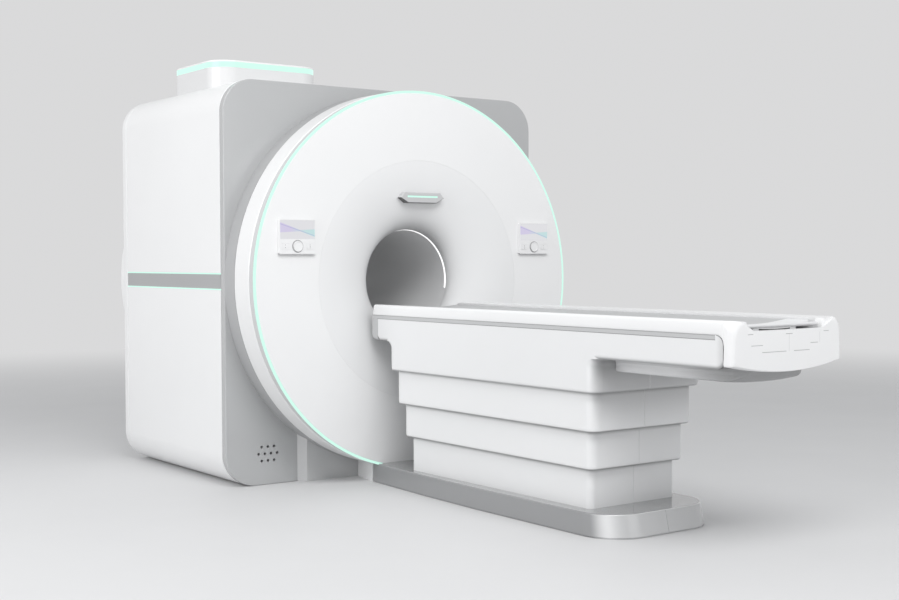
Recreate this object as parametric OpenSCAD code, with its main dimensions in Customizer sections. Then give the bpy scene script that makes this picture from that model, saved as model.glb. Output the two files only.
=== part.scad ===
// Whole-body MRI scanner: gantry with a lit round front and a patient table on a telescopic pedestal.
// The bore runs along Y, the table points to -Y, and Z is up. The working zero of Y is the back face of
// the front frame; at_origin() moves everything so that the origin is below the middle of the whole object.

/* [Gantry housing] */
// Width of the housing
housing_w = 2220; // [2200:10:2400]
// How far the housing rises above the round front
housing_rise = 38; // [20:1:80]
// Depth from the back of the front frame to the back of the rear frame
housing_d = 1390; // [1300:10:1600]
// Radius of the housing's four long edges
corner_r = 190; // [120:5:230]
// Wall of the moulded covers
cover_wall = 8; // [5:1:12]
// Thickness of the front frame
front_t = 46; // [30:1:60]
// Thickness of the rear frame
rear_t = 59; // [40:1:80]
// Gap between a wrap cover and the frames
reveal = 4; // [2:1:8]
// How far the lower edge of the side band lies below the bore axis
band_drop = 49; // [0:1:100]
// Height of the side band with its two light strips
band_h = 97; // [60:1:140]
// Height of one side light strip
strip_h = 8; // [4:1:14]
// How far the round front laps over the opening in the front and rear frames
frame_lap = 100; // [80:1:105]

/* [Round front] */
// Gap between the round front and the floor
ring_gap = 62; // [50:1:90]
// Length of the neck between the front frame and the rim
neck_l = 115; // [80:1:160]
// Length of the white rim
rim_l = 172; // [120:1:220]
// Length of the grey trim between the rim and the light
trim_l = 51; // [30:1:80]
// Depth of the ring light
ring_light_l = 8; // [5:1:14]
// Width of the ring light seen from the front
ring_light_w = 14; // [8:1:24]
// Width of the white face, from the funnel to the edge of the round front
face_w = 408; // [310:1:490]
// Radius of the patient bore
bore_r = 300; // [295:1:320]
// Depth of the bell-shaped funnel
funnel_d = 160; // [120:1:220]
// Wall of the patient bore liner
liner_t = 8; // [5:1:12]
// Section of the light in the bore mouth
bore_light_t = 9; // [6:1:12]
// Angle that the bore light covers
bore_light_angle = 200; // [120:5:240]

/* [Turret] */
// Width of the turret
turret_w = 713; // [600:1:760]
// Depth of the turret
turret_d = 641; // [560:1:680]
// Distance from the housing's left side to the turret
turret_side = 120; // [100:1:180]
// Distance from the front frame to the turret
turret_y = 278; // [240:1:320]
// Radius of the turret's upright edges
turret_r = 130; // [60:1:160]
// Height of the turret above the housing, with its cap
turret_h = 152; // [130:1:220]
// Height of the turret's light band
turret_light_h = 32; // [15:1:50]
// Thickness of the turret's cap
turret_cap_t = 10; // [6:1:16]

/* [Magnet] */
// Distance from the housing's sides to the magnet vessel
vessel_side = 110; // [110:5:160]
// Distance from the front frame to the magnet vessel, and from the vessel to the rear
vessel_y = 60; // [60:5:120]
// Radius of the vessel's warm bore
warm_bore_r = 455; // [440:1:480]
// Inner radius of the gradient coil
gradient_r = 355; // [350:1:380]
// Length of the gradient coil
gradient_l = 1150; // [1000:10:1200]
// Number of rungs of the body coil
rungs = 16; // [8:4:24]
// Radius of the service neck
service_neck_r = 170; // [120:5:180]
// Width of one saddle beam under the vessel
saddle_w = 220; // [160:5:260]

/* [Control panels] */
// Width of a control panel
panel_w = 232; // [200:1:260]
// Height of a control panel
panel_h = 194; // [180:1:220]
// Depth of a control panel
panel_d = 20; // [16:1:30]
// Distance of the panel centres from the edge of the round front
panel_inset = 264; // [250:1:290]
// Height of the panel centres above the bore axis
panel_up = 249; // [200:1:280]
// Height of the screens
screen_h = 104; // [90:1:110]
// Radius of the dials
dial_r = 31; // [24:0.5:34]
// How far a dial stands out of its panel
dial_proud = 7; // [4:0.5:12]
// Width of a key
key_w = 40; // [30:1:44]
// Height of a key
key_h = 32; // [24:1:36]
// Travel of a key
key_travel = 1.5; // [1:0.1:2]

/* [Visor] */
// Width of the visor at its middle
visor_w = 314; // [260:2:340]
// Height of the visor
visor_h = 62; // [50:1:70]
// Height of the visor's middle above the bore axis
visor_up = 483; // [450:1:520]
// Width of the visor's light
visor_light_w = 214; // [160:2:220]

/* [Pedestal] */
// Width of the front pedestal under the round front
pedestal_w = 1300; // [1100:10:1400]
// How far the pedestal stands in front of the front frame
pedestal_d = 48; // [30:1:80]

/* [Table] */
// Half width of the table body
table_x = 361; // [340:1:370]
// Distance from the front frame's back to the table's gantry end
table_near = 400; // [396:1:440]
// Distance from the front frame's back to the seam of the end cap
table_far = 3071; // [2900:1:3200]
// Length of the end cap
cap_l = 44; // [36:1:60]
// Depth of the table body, from the slide bed to the underside of its overhang
beam_h = 122; // [100:1:140]
// How far the slide bed lies below the bore axis
bed_drop = 217; // [200:1:227]
// Thickness of the slide bed
bed_t = 22; // [16:1:30]
// Height of the table's rims above the slide bed's underside
rim_h = 82; // [75:1:95]
// Half width of the channel that the cradle slides in
channel_x = 254.5; // [240:0.5:270]
// Wall of the table body and the skirts
skirt_wall = 6; // [4:1:10]

/* [Pedestal skirts] */
// Distance to the gantry end of the widest skirt
skirt_near = 568; // [500:1:600]
// Distance to the far end of the widest skirt
skirt_far = 2285; // [2200:1:2400]
// Step from one skirt to the next at the sides
step_x = 26; // [16:1:30]
// Step from one skirt to the next at the far end
step_far = 37; // [20:1:45]
// Step from one skirt to the next at the gantry end
step_near = 40; // [20:1:45]
// How far the lower edges of the body and the two moving skirts lie below the overhang
skirt_drop = [162, 350, 533];
// Overlap of two skirts when the table is up
skirt_overlap = 34; // [26:1:60]
// Travel of the table from its raised position down
lift_travel = 400; // [250:10:400]

/* [Plinth] */
// Height of the plinth
plinth_h = 112; // [80:1:120]
// Half width of the plinth at the floor
plinth_x = 362; // [350:1:400]
// Slope of the plinth's sides, from floor to top
plinth_side_slope = 7; // [2:1:40]
// Distance to the plinth's far end at the floor
plinth_far = 2412; // [2380:1:2500]
// Slope of the plinth's far end, from floor to top
plinth_end_slope = 24; // [10:1:60]

// Radius of the plinth's round corners at the floor
plinth_r = 205; // [150:5:230]

/* [Under tray] */
// Height of the tray under the table body's overhang
tray_h = 76; // [60:1:90]
// Half width of the tray
tray_x = 225; // [200:1:250]
// Bow of the tray's bottom
tray_bow = 10; // [4:1:16]
// Distance from the tray's flat bottom to the seam of the end cap
tray_inset = 120; // [110:1:200]
// Length of the tray's rising end
tray_end = 108; // [80:1:109]

/* [Cradle] */
// Half width of the cradle
cradle_x = 250; // [230:1:252]
// How deep the cradle's trough is
cradle_sag = 18; // [10:1:22]
// Thickness of the cradle's shell
cradle_t = 14; // [10:1:16]
// Height of the rails under the cradle
rail_h = 8; // [6:0.5:10]
// Distance of the rails from the middle
rail_x = 120; // [90:1:130]
// Travel of the cradle into the bore
cradle_travel = 1850; // [1200:10:1900]
// Radius of the cradle's handle
handle_r = 9; // [7:0.5:11]

/* [Lift and drive] */
// Width of the columns' outer tubes
column_w = 170; // [150:2:180]
// Wall of the column tubes
column_wall = 8; // [6:0.5:10]
// Distance of the two columns from the gantry
column_y = [1000, 1850];
// How far the base plate reaches past the columns
base_reach = 270; // [230:5:290]
// Width of the base plate
base_w = 480; // [440:10:500]
// Thickness of the base plate
base_t = 20; // [14:1:24]
// Radius of the belt pulleys
pulley_r = 25.7; // [20:0.1:28]
// Width of the drive belt
belt_w = 20; // [15:1:26]
// Thickness of the drive belt
belt_t = 4; // [2:0.5:5]

/* [Hidden] */

$fn = 96;
e = 0.01;
// Clearance between pieces that fit into each other
fit = 0.3;
// Radial clearance of a shaft in its bore
shaft_fit = 0.05;

// The round front is as wide as the housing, and everything along the bore hangs on its axis
ring_r = housing_w / 2;
axis_z = ring_r + ring_gap;
housing_h = axis_z + ring_r + housing_rise;
band_z = axis_z - band_drop;
bed_z = axis_z - bed_drop;
beam_z = bed_z - beam_h;
rim_z = bed_z + rim_h;
skirt_z = [for (drop = skirt_drop) beam_z - drop];
panel_x = ring_r - panel_inset;
frame_hole_r = ring_r - frame_lap;
face_r = ring_r - face_w;
vessel_r = housing_w / 2 - vessel_side;
vessel_l = housing_d - 2 * vessel_y;

// Front planes of the round front, counted towards the viewer
neck_y = front_t + neck_l;
rim_y = neck_y + rim_l;
trim_y = rim_y + trim_l;
face_y = trim_y + ring_light_l;
mouth_y = face_y - funnel_d;
face_t = 10;
ring_wall = 12;
ring_edge = 6;

// Rear round cover
rear_y = housing_d;
rear_d = 70;
rear_edge = 30;
rear_face_w = 550;
rear_face_r = ring_r - rear_face_w;
tube_end = rear_y - 5;

// Foot of a lower cover: its width, and its distance from the middle
cover_foot = 410;
cover_foot_x = housing_w / 2 - cover_foot;

// Speaker and its grille in the front frame
grille_inset = 267;
grille_x = -housing_w / 2 + grille_inset;
grille_z = 179;
grille_pitch = 40;
grille_hole_r = 8.5;
speaker_r = 78;

// Service neck of the magnet, in the middle of the turret
service_x = -housing_w / 2 + turret_side + turret_w / 2;
service_y = turret_y + turret_d / 2;

// Control panels
panel_z = axis_z + panel_up;
panel_face = face_y + panel_d;
screen_z = panel_z + panel_h / 2 - 6 - screen_h / 2;
dial_z = panel_z - panel_h / 2 + 44;
key_x = 78;
dial_shaft_r = 6;
pocket = 7;

// Foot of the gantry
pedestal_h = 420;
neck_h = 150;
neck_near = 262;
neck_far = 312;
neck_end = mouth_y + 99;

// Plinth
plinth_toe = 5;
plinth_bow = 1300;
plinth_ease = 800;

// The whole object's middle along Y
reach_front = table_far + cap_l;
reach_rear = rear_y + rear_d;
middle_y = (reach_rear - reach_front) / 2;

// Cradle and rails
bed_top = bed_z + bed_t;
rail_top = bed_top + rail_h;
cradle_edge = rim_z - 15;
rail_w = 44;
cradle_near = table_near + 8;
cradle_far = table_far - 35;
lug_y = cradle_far - 136;
pocket_far = table_far + cap_l - 16;
handle_y = table_far + 4;
handle_z = rim_z - 28;

// Table body and the end of the slide bed that turns down in front of it
body_wall = skirt_wall + 2;
beam_near = table_near + 68;
beam_far = table_far - fit;
beam_edge = 22;
beam_end_r = 42;
bed_near = table_near + 10;
bed_far = beam_far - 46;
bed_half = table_x - 2;

// Under tray
tray_far = table_far - tray_inset;

// Columns and lift: the tubes just fit between the base plate and the lift frame when the table is down
slide_fit = 0.4;
middle_w = column_w - 2 * column_wall - 2 * slide_fit;
inner_w = middle_w - 2 * column_wall - 2 * slide_fit;
base_near = column_y[0] - base_reach;
base_far = column_y[1] + base_reach;
base_bolt_x = base_w / 2 - 40;
base_bolt_end = 60;
lift_frame_z = beam_z + 17;
lift_frame_t = 12;
column_low = lift_frame_z - lift_travel;
column_outer_top = column_low - 10;
column_l = column_low - base_t - 30;
column_middle_z = lift_frame_z - lift_travel / 2 - 5 - column_l;

// Belt drive
pulley_z = bed_z - 45;
drive_y = cradle_far - 76;
idler_y = drive_y - cradle_travel - 120;
bracket_t = 6;
shaft_r = 6;

module at_origin() { translate([0, -middle_y, 0]) children(); }

// Points of an arc around [cx, cy] from angle a0 to a1
function arc(cx, cy, r, a0, a1, n = 6) =
    [for (i = [0:n]) let (a = a0 + (a1 - a0) * i / n) [cx + r * cos(a), cy + r * sin(a)]];

// Counter-clockwise outline of a rectangle with round corners, as points
function round_outline(x0, x1, y0, y1, r, n = 6) = concat(
    arc(x1 - r, y0 + r, r, -90, 0, n), arc(x1 - r, y1 - r, r, 0, 90, n),
    arc(x0 + r, y1 - r, r, 90, 180, n), arc(x0 + r, y0 + r, r, 180, 270, n));

function at_z(points, z) = [for (p = points) [p[0], p[1], z]];
function at_y(points, y) = [for (p = points) [p[0], y, p[1]]];

// Skin over a stack of outlines with equal numbers of points
module loft(rings) {
    n = len(rings[0]);
    m = len(rings);
    sides = [for (i = [0:m - 2]) for (j = [0:n - 1])
        each [[i * n + j, (i + 1) * n + j, (i + 1) * n + (j + 1) % n],
              [i * n + j, (i + 1) * n + (j + 1) % n, i * n + (j + 1) % n]]];
    low = [for (j = [0:n - 1]) j];
    high = [for (j = [n - 1:-1:0]) (m - 1) * n + j];
    polyhedron([for (r = rings) each r], concat([low], sides, [high]), convexity = 6);
}

// Flat rectangle with round corners, from exact circles
module round_rect(x0, x1, y0, y1, r) {
    translate([x0 + r, y0]) square([x1 - x0 - 2 * r, y1 - y0]);
    translate([x0, y0 + r]) square([x1 - x0, y1 - y0 - 2 * r]);
    for (x = [x0 + r, x1 - r]) for (y = [y0 + r, y1 - r]) translate([x, y]) circle(r);
}

// Extrudes an outline drawn in X and Z from y0 to y1
module along_y(y0, y1) {
    translate([0, y1, 0]) rotate([90, 0, 0]) linear_extrude(y1 - y0, convexity = 6) children();
}

// Turns local Z into +Y on the bore axis
module about_bore() { translate([0, 0, axis_z]) rotate([-90, 0, 0]) children(); }

// Ring about the bore axis with bevelled outer edges
module ring(r_in, r_out, y0, y1, b0 = 0, b1 = 0) {
    about_bore() rotate_extrude(convexity = 4)
        polygon([[r_in, y0], [r_out - b0, y0], [r_out, y0 + b0], [r_out, y1 - b1],
                 [r_out - b1, y1], [r_in, y1]]);
}

// Outline of the housing, drawn inset by a distance
module housing_outline(inset = 0) {
    round_rect(-housing_w / 2 + inset, housing_w / 2 - inset, inset, housing_h - inset,
               corner_r - inset);
}

// Magnet and frame

// Two saddles under the vessel, which the lower covers seat against, and two beams along the floor
module base_frame() {
    half_w = cover_foot_x - fit;
    saddle_h = 420;
    inset = 120;
    beam_x = 560;
    beam_w = 120;
    beam_h = 110;
    saddle_places = [vessel_y + inset, vessel_y + vessel_l - inset - saddle_w];
    color("dimgray") difference() {
        union() {
            for (y = saddle_places) translate([-half_w, y, 0]) cube([2 * half_w, saddle_w, saddle_h]);
            for (s = [-1, 1]) translate([s * beam_x - beam_w / 2, vessel_y + inset / 2, 0])
                cube([beam_w, vessel_l - inset, beam_h]);
        }
        about_bore() cylinder(r = vessel_r + fit, h = 4 * vessel_l, center = true);
        for (y = saddle_places) translate([-half_w / 2, y - e, -e]) cube([half_w, saddle_w + 2 * e, 60]);
    }
}

module magnet_vessel() {
    edge = 40;
    neck_foot = axis_z + vessel_r / 2;
    color("gainsboro") difference() {
        union() {
            ring(warm_bore_r - 20, vessel_r, vessel_y, vessel_y + vessel_l, edge, edge);
            translate([service_x, service_y, neck_foot])
                cylinder(r = service_neck_r, h = housing_h - neck_foot - 20);
            translate([service_x, service_y, housing_h - 50]) cylinder(r = service_neck_r + 20, h = 30);
        }
        about_bore() cylinder(r = warm_bore_r, h = 4 * vessel_l, center = true);
    }
}

module gradient_coil() {
    y0 = vessel_y + (vessel_l - gradient_l) / 2;
    color("tan") difference() {
        ring(gradient_r, warm_bore_r - fit, y0, y0 + gradient_l);
        for (i = [0:11]) about_bore() rotate(i * 30)
            translate([(gradient_r + warm_bore_r) / 2, 0, y0 - e]) cylinder(r = 14, h = 120);
    }
}

module body_coil() {
    coil_end = 260;
    former_end = 140;
    ring_w = 40;
    rung_w = 28;
    y0 = vessel_y + coil_end;
    y1 = vessel_y + vessel_l - coil_end;
    r_out = gradient_r - fit;
    color("peru") {
        ring(r_out - 5, r_out, vessel_y + former_end, vessel_y + vessel_l - former_end);
        ring(r_out - 14, r_out - 4, y0 - ring_w, y0);
        ring(r_out - 14, r_out - 4, y1, y1 + ring_w);
        about_bore() for (i = [0:rungs - 1]) rotate(i * 360 / rungs)
            translate([r_out - 14, -rung_w / 2, y0 - ring_w / 2]) cube([10, rung_w, y1 - y0 + ring_w]);
    }
}

module bore_tube() {
    color("lightgray") ring(bore_r, bore_r + liner_t, -mouth_y + 12, tube_end);
}

module cold_head() {
    top = housing_h + turret_h - turret_cap_t - 20;
    flange_r = 95;
    head_r = 62;
    head_z = housing_h + 10;
    valve = [110, 90, top - head_z - 30];
    color("silver") translate([service_x, service_y, 0]) {
        translate([0, 0, housing_h - 20]) cylinder(r = flange_r, h = 40);
        translate([0, 0, head_z]) cylinder(r = head_r, h = top - head_z);
        translate([40, -valve[1] / 2, head_z + 20]) cube(valve);
    }
}

// Housing covers

module front_frame() {
    color("silver") {
        difference() {
            along_y(-front_t, 0) housing_outline();
            about_bore() cylinder(r = frame_hole_r, h = 4 * front_t, center = true);
            for (row = [-1:1]) for (i = [0:(row == 0 ? 3 : 2)])
                translate([grille_x + (i - (row == 0 ? 1.5 : 1)) * grille_pitch, 0,
                           grille_z + row * grille_pitch])
                    rotate([90, 0, 0]) cylinder(r = grille_hole_r, h = 4 * front_t, center = true, $fn = 24);
        }
        cover_lip(-e, 40);
    }
}

// Lip inside the wrap covers, which holds them to a frame
module cover_lip(y0, y1) {
    lip_w = 12;
    along_y(y0, y1) difference() {
        housing_outline(cover_wall + fit);
        housing_outline(cover_wall + fit + lip_w);
    }
}

module rear_frame() {
    color("silver") {
        difference() {
            along_y(housing_d - rear_t, housing_d) housing_outline();
            about_bore() cylinder(r = frame_hole_r, h = 4 * housing_d, center = true);
        }
        cover_lip(housing_d - rear_t - 40, housing_d - rear_t + e);
    }
}

// Wrap cover between the two frames, before it is cut at the band
module wrap(inset = 0) {
    along_y(reveal, housing_d - rear_t - reveal) difference() {
        housing_outline(inset);
        housing_outline(cover_wall);
    }
}

module upper_cover() {
    color("white") difference() {
        wrap();
        translate([-housing_w, -e, -e]) cube([2 * housing_w, 2 * housing_d, band_z + band_h + e]);
        translate([-housing_w / 2 + turret_side + 90, turret_y + 90, housing_h - 60])
            cube([turret_w - 180, turret_d - 180, 100]);
    }
}

module lower_cover(side) {
    color("white") intersection() {
        wrap();
        translate([side > 0 ? cover_foot_x : -housing_w, 0, -e])
            cube([housing_w - cover_foot_x, housing_d, band_z + e]);
    }
}
module lower_cover_left() { lower_cover(-1); }
module lower_cover_right() { lower_cover(1); }

module side_bands() {
    color("silver") intersection() {
        along_y(reveal, housing_d - rear_t - reveal) difference() {
            housing_outline(2);
            housing_outline(cover_wall);
        }
        translate([-housing_w, 0, band_z + strip_h])
            cube([2 * housing_w, 2 * housing_d, band_h - 2 * strip_h]);
    }
}

module side_lights() {
    color("paleturquoise") intersection() {
        along_y(reveal, housing_d - rear_t - reveal) difference() {
            housing_outline(1);
            housing_outline(cover_wall);
        }
        for (z = [band_z, band_z + band_h - strip_h])
            translate([-housing_w, 0, z]) cube([2 * housing_w, 2 * housing_d, strip_h]);
    }
}

// Turret pieces

// Upright prism with the turret's plan, inset by a distance
module turret_plan(z0, z1, inset = 0) {
    x0 = -housing_w / 2 + turret_side;
    translate([0, 0, z0]) linear_extrude(z1 - z0)
        round_rect(x0 + inset, x0 + turret_w - inset, turret_y + inset, turret_y + turret_d - inset,
                   turret_r - inset);
}

module turret_cover() {
    light_z = housing_h + turret_h - turret_cap_t - turret_light_h;
    color("white") difference() {
        turret_plan(housing_h - corner_r / 2, light_z);
        turret_plan(housing_h - corner_r, light_z + 1, cover_wall);
        along_y(-e, 2 * housing_d) housing_outline(-0.1);
    }
}

module turret_light() {
    light_z = housing_h + turret_h - turret_cap_t - turret_light_h;
    color("paleturquoise") difference() {
        turret_plan(light_z, light_z + turret_light_h, 1.5);
        turret_plan(light_z - 1, light_z + turret_light_h + 1, cover_wall);
    }
}

module turret_cap() {
    cap_z = housing_h + turret_h - turret_cap_t;
    color("white") {
        turret_plan(cap_z, cap_z + turret_cap_t - 4);
        turret_plan(cap_z + turret_cap_t - 4 - e, cap_z + turret_cap_t, 5);
    }
}

// Round front pieces

module neck_ring() { color("gainsboro") ring(ring_r - 2 - ring_wall, ring_r - 2, -neck_y, -front_t); }

module front_rim() {
    color("white") about_bore() rotate_extrude(convexity = 4)
        polygon(concat(
            [[ring_r - 2 * ring_wall, -rim_y]],
            arc(ring_r - ring_edge, -rim_y + ring_edge, ring_edge, -90, 0, 4),
            arc(ring_r - ring_edge, -neck_y - ring_edge, ring_edge, 0, 90, 4),
            [[ring_r - 2 * ring_wall, -neck_y]]));
}

module rim_trim() {
    color("silver") ring(ring_r - 2 * ring_wall, ring_r - 4, -trim_y, -rim_y);
}

module ring_light() {
    color("aquamarine") about_bore() rotate_extrude(convexity = 4)
        polygon(concat(
            [[ring_r - ring_light_w, -face_y]],
            arc(ring_r - 3, -face_y + 3, 3, -90, 0, 3),
            [[ring_r, -trim_y], [ring_r - 2 * ring_wall, -trim_y],
             [ring_r - 2 * ring_wall, -trim_y - 2], [ring_r - ring_light_w, -trim_y - 2]]));
}

module front_face() {
    color("white") about_bore() rotate_extrude(convexity = 4)
        polygon([[face_r, -face_y], [ring_r - ring_light_w - 1.5, -face_y],
                 [ring_r - ring_light_w - fit, -face_y + 1.5],
                 [ring_r - ring_light_w - fit, -trim_y - 2 - fit],
                 [ring_r - 2 * ring_wall - fit, -trim_y - 2 - fit],
                 [ring_r - 2 * ring_wall - fit, -trim_y + face_t],
                 [ring_r - 4 * ring_wall, -trim_y + face_t],
                 [ring_r - 4 * ring_wall, -face_y + face_t], [face_r, -face_y + face_t]]);
}

// The bell's profile: a quarter ellipse from the face to the bore mouth, set back by a distance
function bell(back = 0, n = 20) = [for (i = [0:n]) let (a = 90 * i / n)
    [face_r - (face_r - bore_r - back) * sin(a), -mouth_y - (funnel_d - back) * cos(a)]];

module bore_funnel() {
    shell = 9;
    outer = bell();
    inner = bell(shell);
    color("lightgray") about_bore() rotate_extrude(convexity = 6)
        polygon(concat(
            [for (p = outer) [min(p[0], face_r - fit), p[1]]],
            [[bore_r, -mouth_y + 12 - fit], [bore_r + shell, -mouth_y + 12 - fit]],
            [for (i = [len(inner) - 1:-1:0]) [min(inner[i][0], face_r - fit), inner[i][1]]]));
}

module bore_light() {
    start = 90 + bore_light_angle / 2;
    color("white") about_bore() rotate([0, 0, -start])
        rotate_extrude(angle = bore_light_angle)
            polygon([[bore_r - 3, -mouth_y + 12], [bore_r - fit, -mouth_y + 12],
                     [bore_r - fit, -mouth_y + 12 + bore_light_t],
                      [bore_r - 3, -mouth_y + 12 + bore_light_t]]);
}

// Solid behind the bell's surface, for pieces that sit on it
module behind_bell(clear) {
    about_bore() rotate_extrude(convexity = 4)
        polygon(concat([for (p = bell()) [p[0], p[1] - clear]],
                       [[bore_r, -mouth_y + 100], [face_r, -mouth_y + 100]]));
}

module visor_block(y0, y1, inset) {
    w = visor_w / 2 - inset;
    h = visor_h / 2 - inset;
    z = axis_z + visor_up;
    along_y(y0, y1) translate([0, z])
        polygon([[-w + 52, -h], [w - 52, -h], [w - 12, -h * 0.2], [w, 0], [w - 10, h * 0.3],
                 [w - 26, h], [-w + 26, h], [-w + 10, h * 0.3], [-w, 0], [-w + 12, -h * 0.2]]);
}

module visor() {
    color("silver") difference() {
        union() {
            visor_block(-face_y - 12, -mouth_y - 60, 0);
            visor_block(-face_y - 16, -face_y - 12 + e, 4);
        }
        behind_bell(fit);
        translate([-visor_light_w / 2 - fit, -face_y - 20, axis_z + visor_up + 1])
            cube([visor_light_w + 2 * fit, 9, 11]);
    }
}

module visor_light() {
    color("aquamarine") translate([-visor_light_w / 2, -face_y - 16.5, axis_z + visor_up + 1 + fit])
        cube([visor_light_w, 5.5 - fit, 11 - 2 * fit]);
}

// Control panel pieces

module panel(side) {
    x = side * panel_x;
    color("white") difference() {
        union() {
            along_y(-panel_face + 3, -face_y) round_rect(x - panel_w / 2, x + panel_w / 2,
                panel_z - panel_h / 2, panel_z + panel_h / 2, 9);
            along_y(-panel_face, -panel_face + 3 + e) round_rect(x - panel_w / 2 + 2, x + panel_w / 2 - 2,
                panel_z - panel_h / 2 + 2, panel_z + panel_h / 2 - 2, 7);
        }
        translate([x - panel_w / 2 + 7, -panel_face - 1, screen_z - screen_h / 2])
            cube([panel_w - 14, 5, screen_h]);
        translate([x, -panel_face + pocket, dial_z]) rotate([90, 0, 0])
            cylinder(r = dial_r + fit, h = pocket + 1);
        translate([x, -panel_face + pocket + 10, dial_z]) rotate([90, 0, 0])
            cylinder(r = dial_shaft_r + shaft_fit, h = 20);
        for (s = [-1, 1])
            translate([x + s * key_x - key_w / 2 - fit, -panel_face - 1, dial_z - key_h / 2 - fit])
            cube([key_w + 2 * fit, pocket + 1, key_h + 2 * fit]);
    }
}
module panel_left() { panel(-1); }
module panel_right() { panel(1); }

module screen(side) {
    color("lavender") translate([side * panel_x - panel_w / 2 + 7 + fit, -panel_face + 0.6,
                                 screen_z - screen_h / 2 + fit])
        cube([panel_w - 14 - 2 * fit, 3.4, screen_h - 2 * fit]);
}
module screen_left() { screen(-1); }
module screen_right() { screen(1); }

module dial(side) {
    color("whitesmoke") translate([side * panel_x, 0, dial_z]) rotate([90, 0, 0]) {
        rotate_extrude() polygon(concat(
            [[0, panel_face - pocket + fit], [dial_r, panel_face - pocket + fit]],
            arc(dial_r - 3, panel_face + dial_proud - 3, 3, 0, 90, 4),
            [[dial_r - 7, panel_face + dial_proud], [dial_r - 9, panel_face + dial_proud - 1.5],
             [0, panel_face + dial_proud - 1.5]]));
        translate([0, 0, panel_face - pocket - 8]) cylinder(r = dial_shaft_r, h = 10, $fn = 48);
    }
}
module dial_left() { dial(-1); }
module dial_right() { dial(1); }

module key(side, s) {
    x = side * panel_x + s * key_x;
    color("whitesmoke") translate([0, 0, dial_z])
        along_y(-panel_face - 1.8, -panel_face + pocket - key_travel - fit)
            round_rect(x - key_w / 2, x + key_w / 2, -key_h / 2, key_h / 2, 4);
}
module key_left_outer() { key(-1, -1); }
module key_left_inner() { key(-1, 1); }
module key_right_inner() { key(1, -1); }
module key_right_outer() { key(1, 1); }

module speaker() {
    frame_d = 8;
    cone_r = 60;
    cone_d = 30;
    magnet_r = 34;
    magnet_d = 16;
    color("dimgray") translate([grille_x, 0, grille_z]) rotate([-90, 0, 0]) {
        cylinder(r = speaker_r, h = frame_d);
        translate([0, 0, frame_d - e]) cylinder(r1 = cone_r, r2 = magnet_r, h = cone_d);
        translate([0, 0, frame_d + cone_d - e]) cylinder(r = magnet_r, h = magnet_d);
    }
}

// Foot of the gantry

module front_pedestal() {
    side = 38;
    color("silver") difference() {
        linear_extrude(pedestal_h) polygon(
            [[-pedestal_w / 2, -front_t], [-pedestal_w / 2 + side, -front_t - pedestal_d],
             [pedestal_w / 2 - side, -front_t - pedestal_d], [pedestal_w / 2, -front_t]]);
        about_bore() cylinder(r = ring_r - 2 + fit, h = 4 * face_y, center = true, $fn = 720);
    }
}

module pedestal_neck() {
    color("gainsboro") difference() {
        linear_extrude(neck_h) polygon([[-neck_near, -front_t - pedestal_d], [-neck_far, -neck_end],
                                     [neck_far, -neck_end], [neck_near, -front_t - pedestal_d]]);
        about_bore() cylinder(r = ring_r + fit, h = 4 * face_y, center = true, $fn = 720);
    }
}

// Rear of the gantry

module rear_cover() {
    y1 = rear_y + rear_d;
    color("white") about_bore() rotate_extrude(convexity = 6)
        polygon(concat(
            [[ring_r - ring_wall, rear_y], [ring_r, rear_y]],
            arc(ring_r - rear_edge, y1 - rear_edge, rear_edge, 0, 90, 6),
            [[rear_face_r, y1], [rear_face_r, y1 - face_t], [ring_r - rear_edge, y1 - face_t]],
            arc(ring_r - rear_edge, y1 - rear_edge, rear_edge - ring_wall, 90, 0, 5)));
}

module rear_funnel() {
    y1 = rear_y + rear_d;
    shell = 9;
    depth = y1 - tube_end;
    outer = [for (i = [0:12]) let (a = 90 * i / 12)
        [rear_face_r - fit - (rear_face_r - fit - bore_r) * sin(a), tube_end + fit + (depth - fit) * cos(a)]];
    inner = [for (i = [12:-1:0]) let (a = 90 * i / 12)
        [rear_face_r - fit - (rear_face_r - fit - bore_r - shell) * sin(a),
         tube_end + fit + (depth - fit - shell) * cos(a)]];
    color("lightgray") about_bore() rotate_extrude(convexity = 6) polygon(concat(outer, inner));
}

module bore_bridge() {
    leg = 10;
    y0 = -mouth_y + 40;
    color("whitesmoke") {
        intersection() {
            about_bore() translate([0, 0, y0]) cylinder(r = bore_r - fit, h = tube_end - y0);
            for (s = [-1, 1]) translate([s * rail_x - leg / 2, y0 - e, axis_z - bore_r])
                cube([leg, 2 * housing_d, rail_top - rail_h - axis_z + bore_r]);
        }
        for (s = [-1, 1]) translate([s * rail_x - rail_w / 2, y0, bed_top])
            cube([rail_w, tube_end - y0, rail_h]);
        translate([-rail_x - rail_w / 2, y0, bed_top - 8]) cube([2 * rail_x + rail_w, tube_end - y0, 8]);
    }
}

// Table pedestal

// Outline of a skirt: 0 is the table body's own, 3 the fixed one
function skirt_outline(level, inset = 0) = round_outline(
    -table_x + level * step_x + inset, table_x - level * step_x - inset,
    -skirt_far + level * step_far + inset, -skirt_near - level * step_near - inset,
    max(60 - 9 * level - inset, 8), 7);

// Rounded lower edge, then a straight wall up to z1
function skirt_rings(level, z0, z1) = [
    at_z(skirt_outline(level, 9), z0), at_z(skirt_outline(level, 4), z0 + 3),
    at_z(skirt_outline(level, 1), z0 + 9), at_z(skirt_outline(level, 0), z0 + 17),
    at_z(skirt_outline(level, 0), z1)];

// Opening of a lower flange, round the next skirt
module flange_hole(level, z0, z1) {
    loft([at_z(skirt_outline(level + 1, -0.6), z0), at_z(skirt_outline(level + 1, -0.6), z1)]);
}

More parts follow.
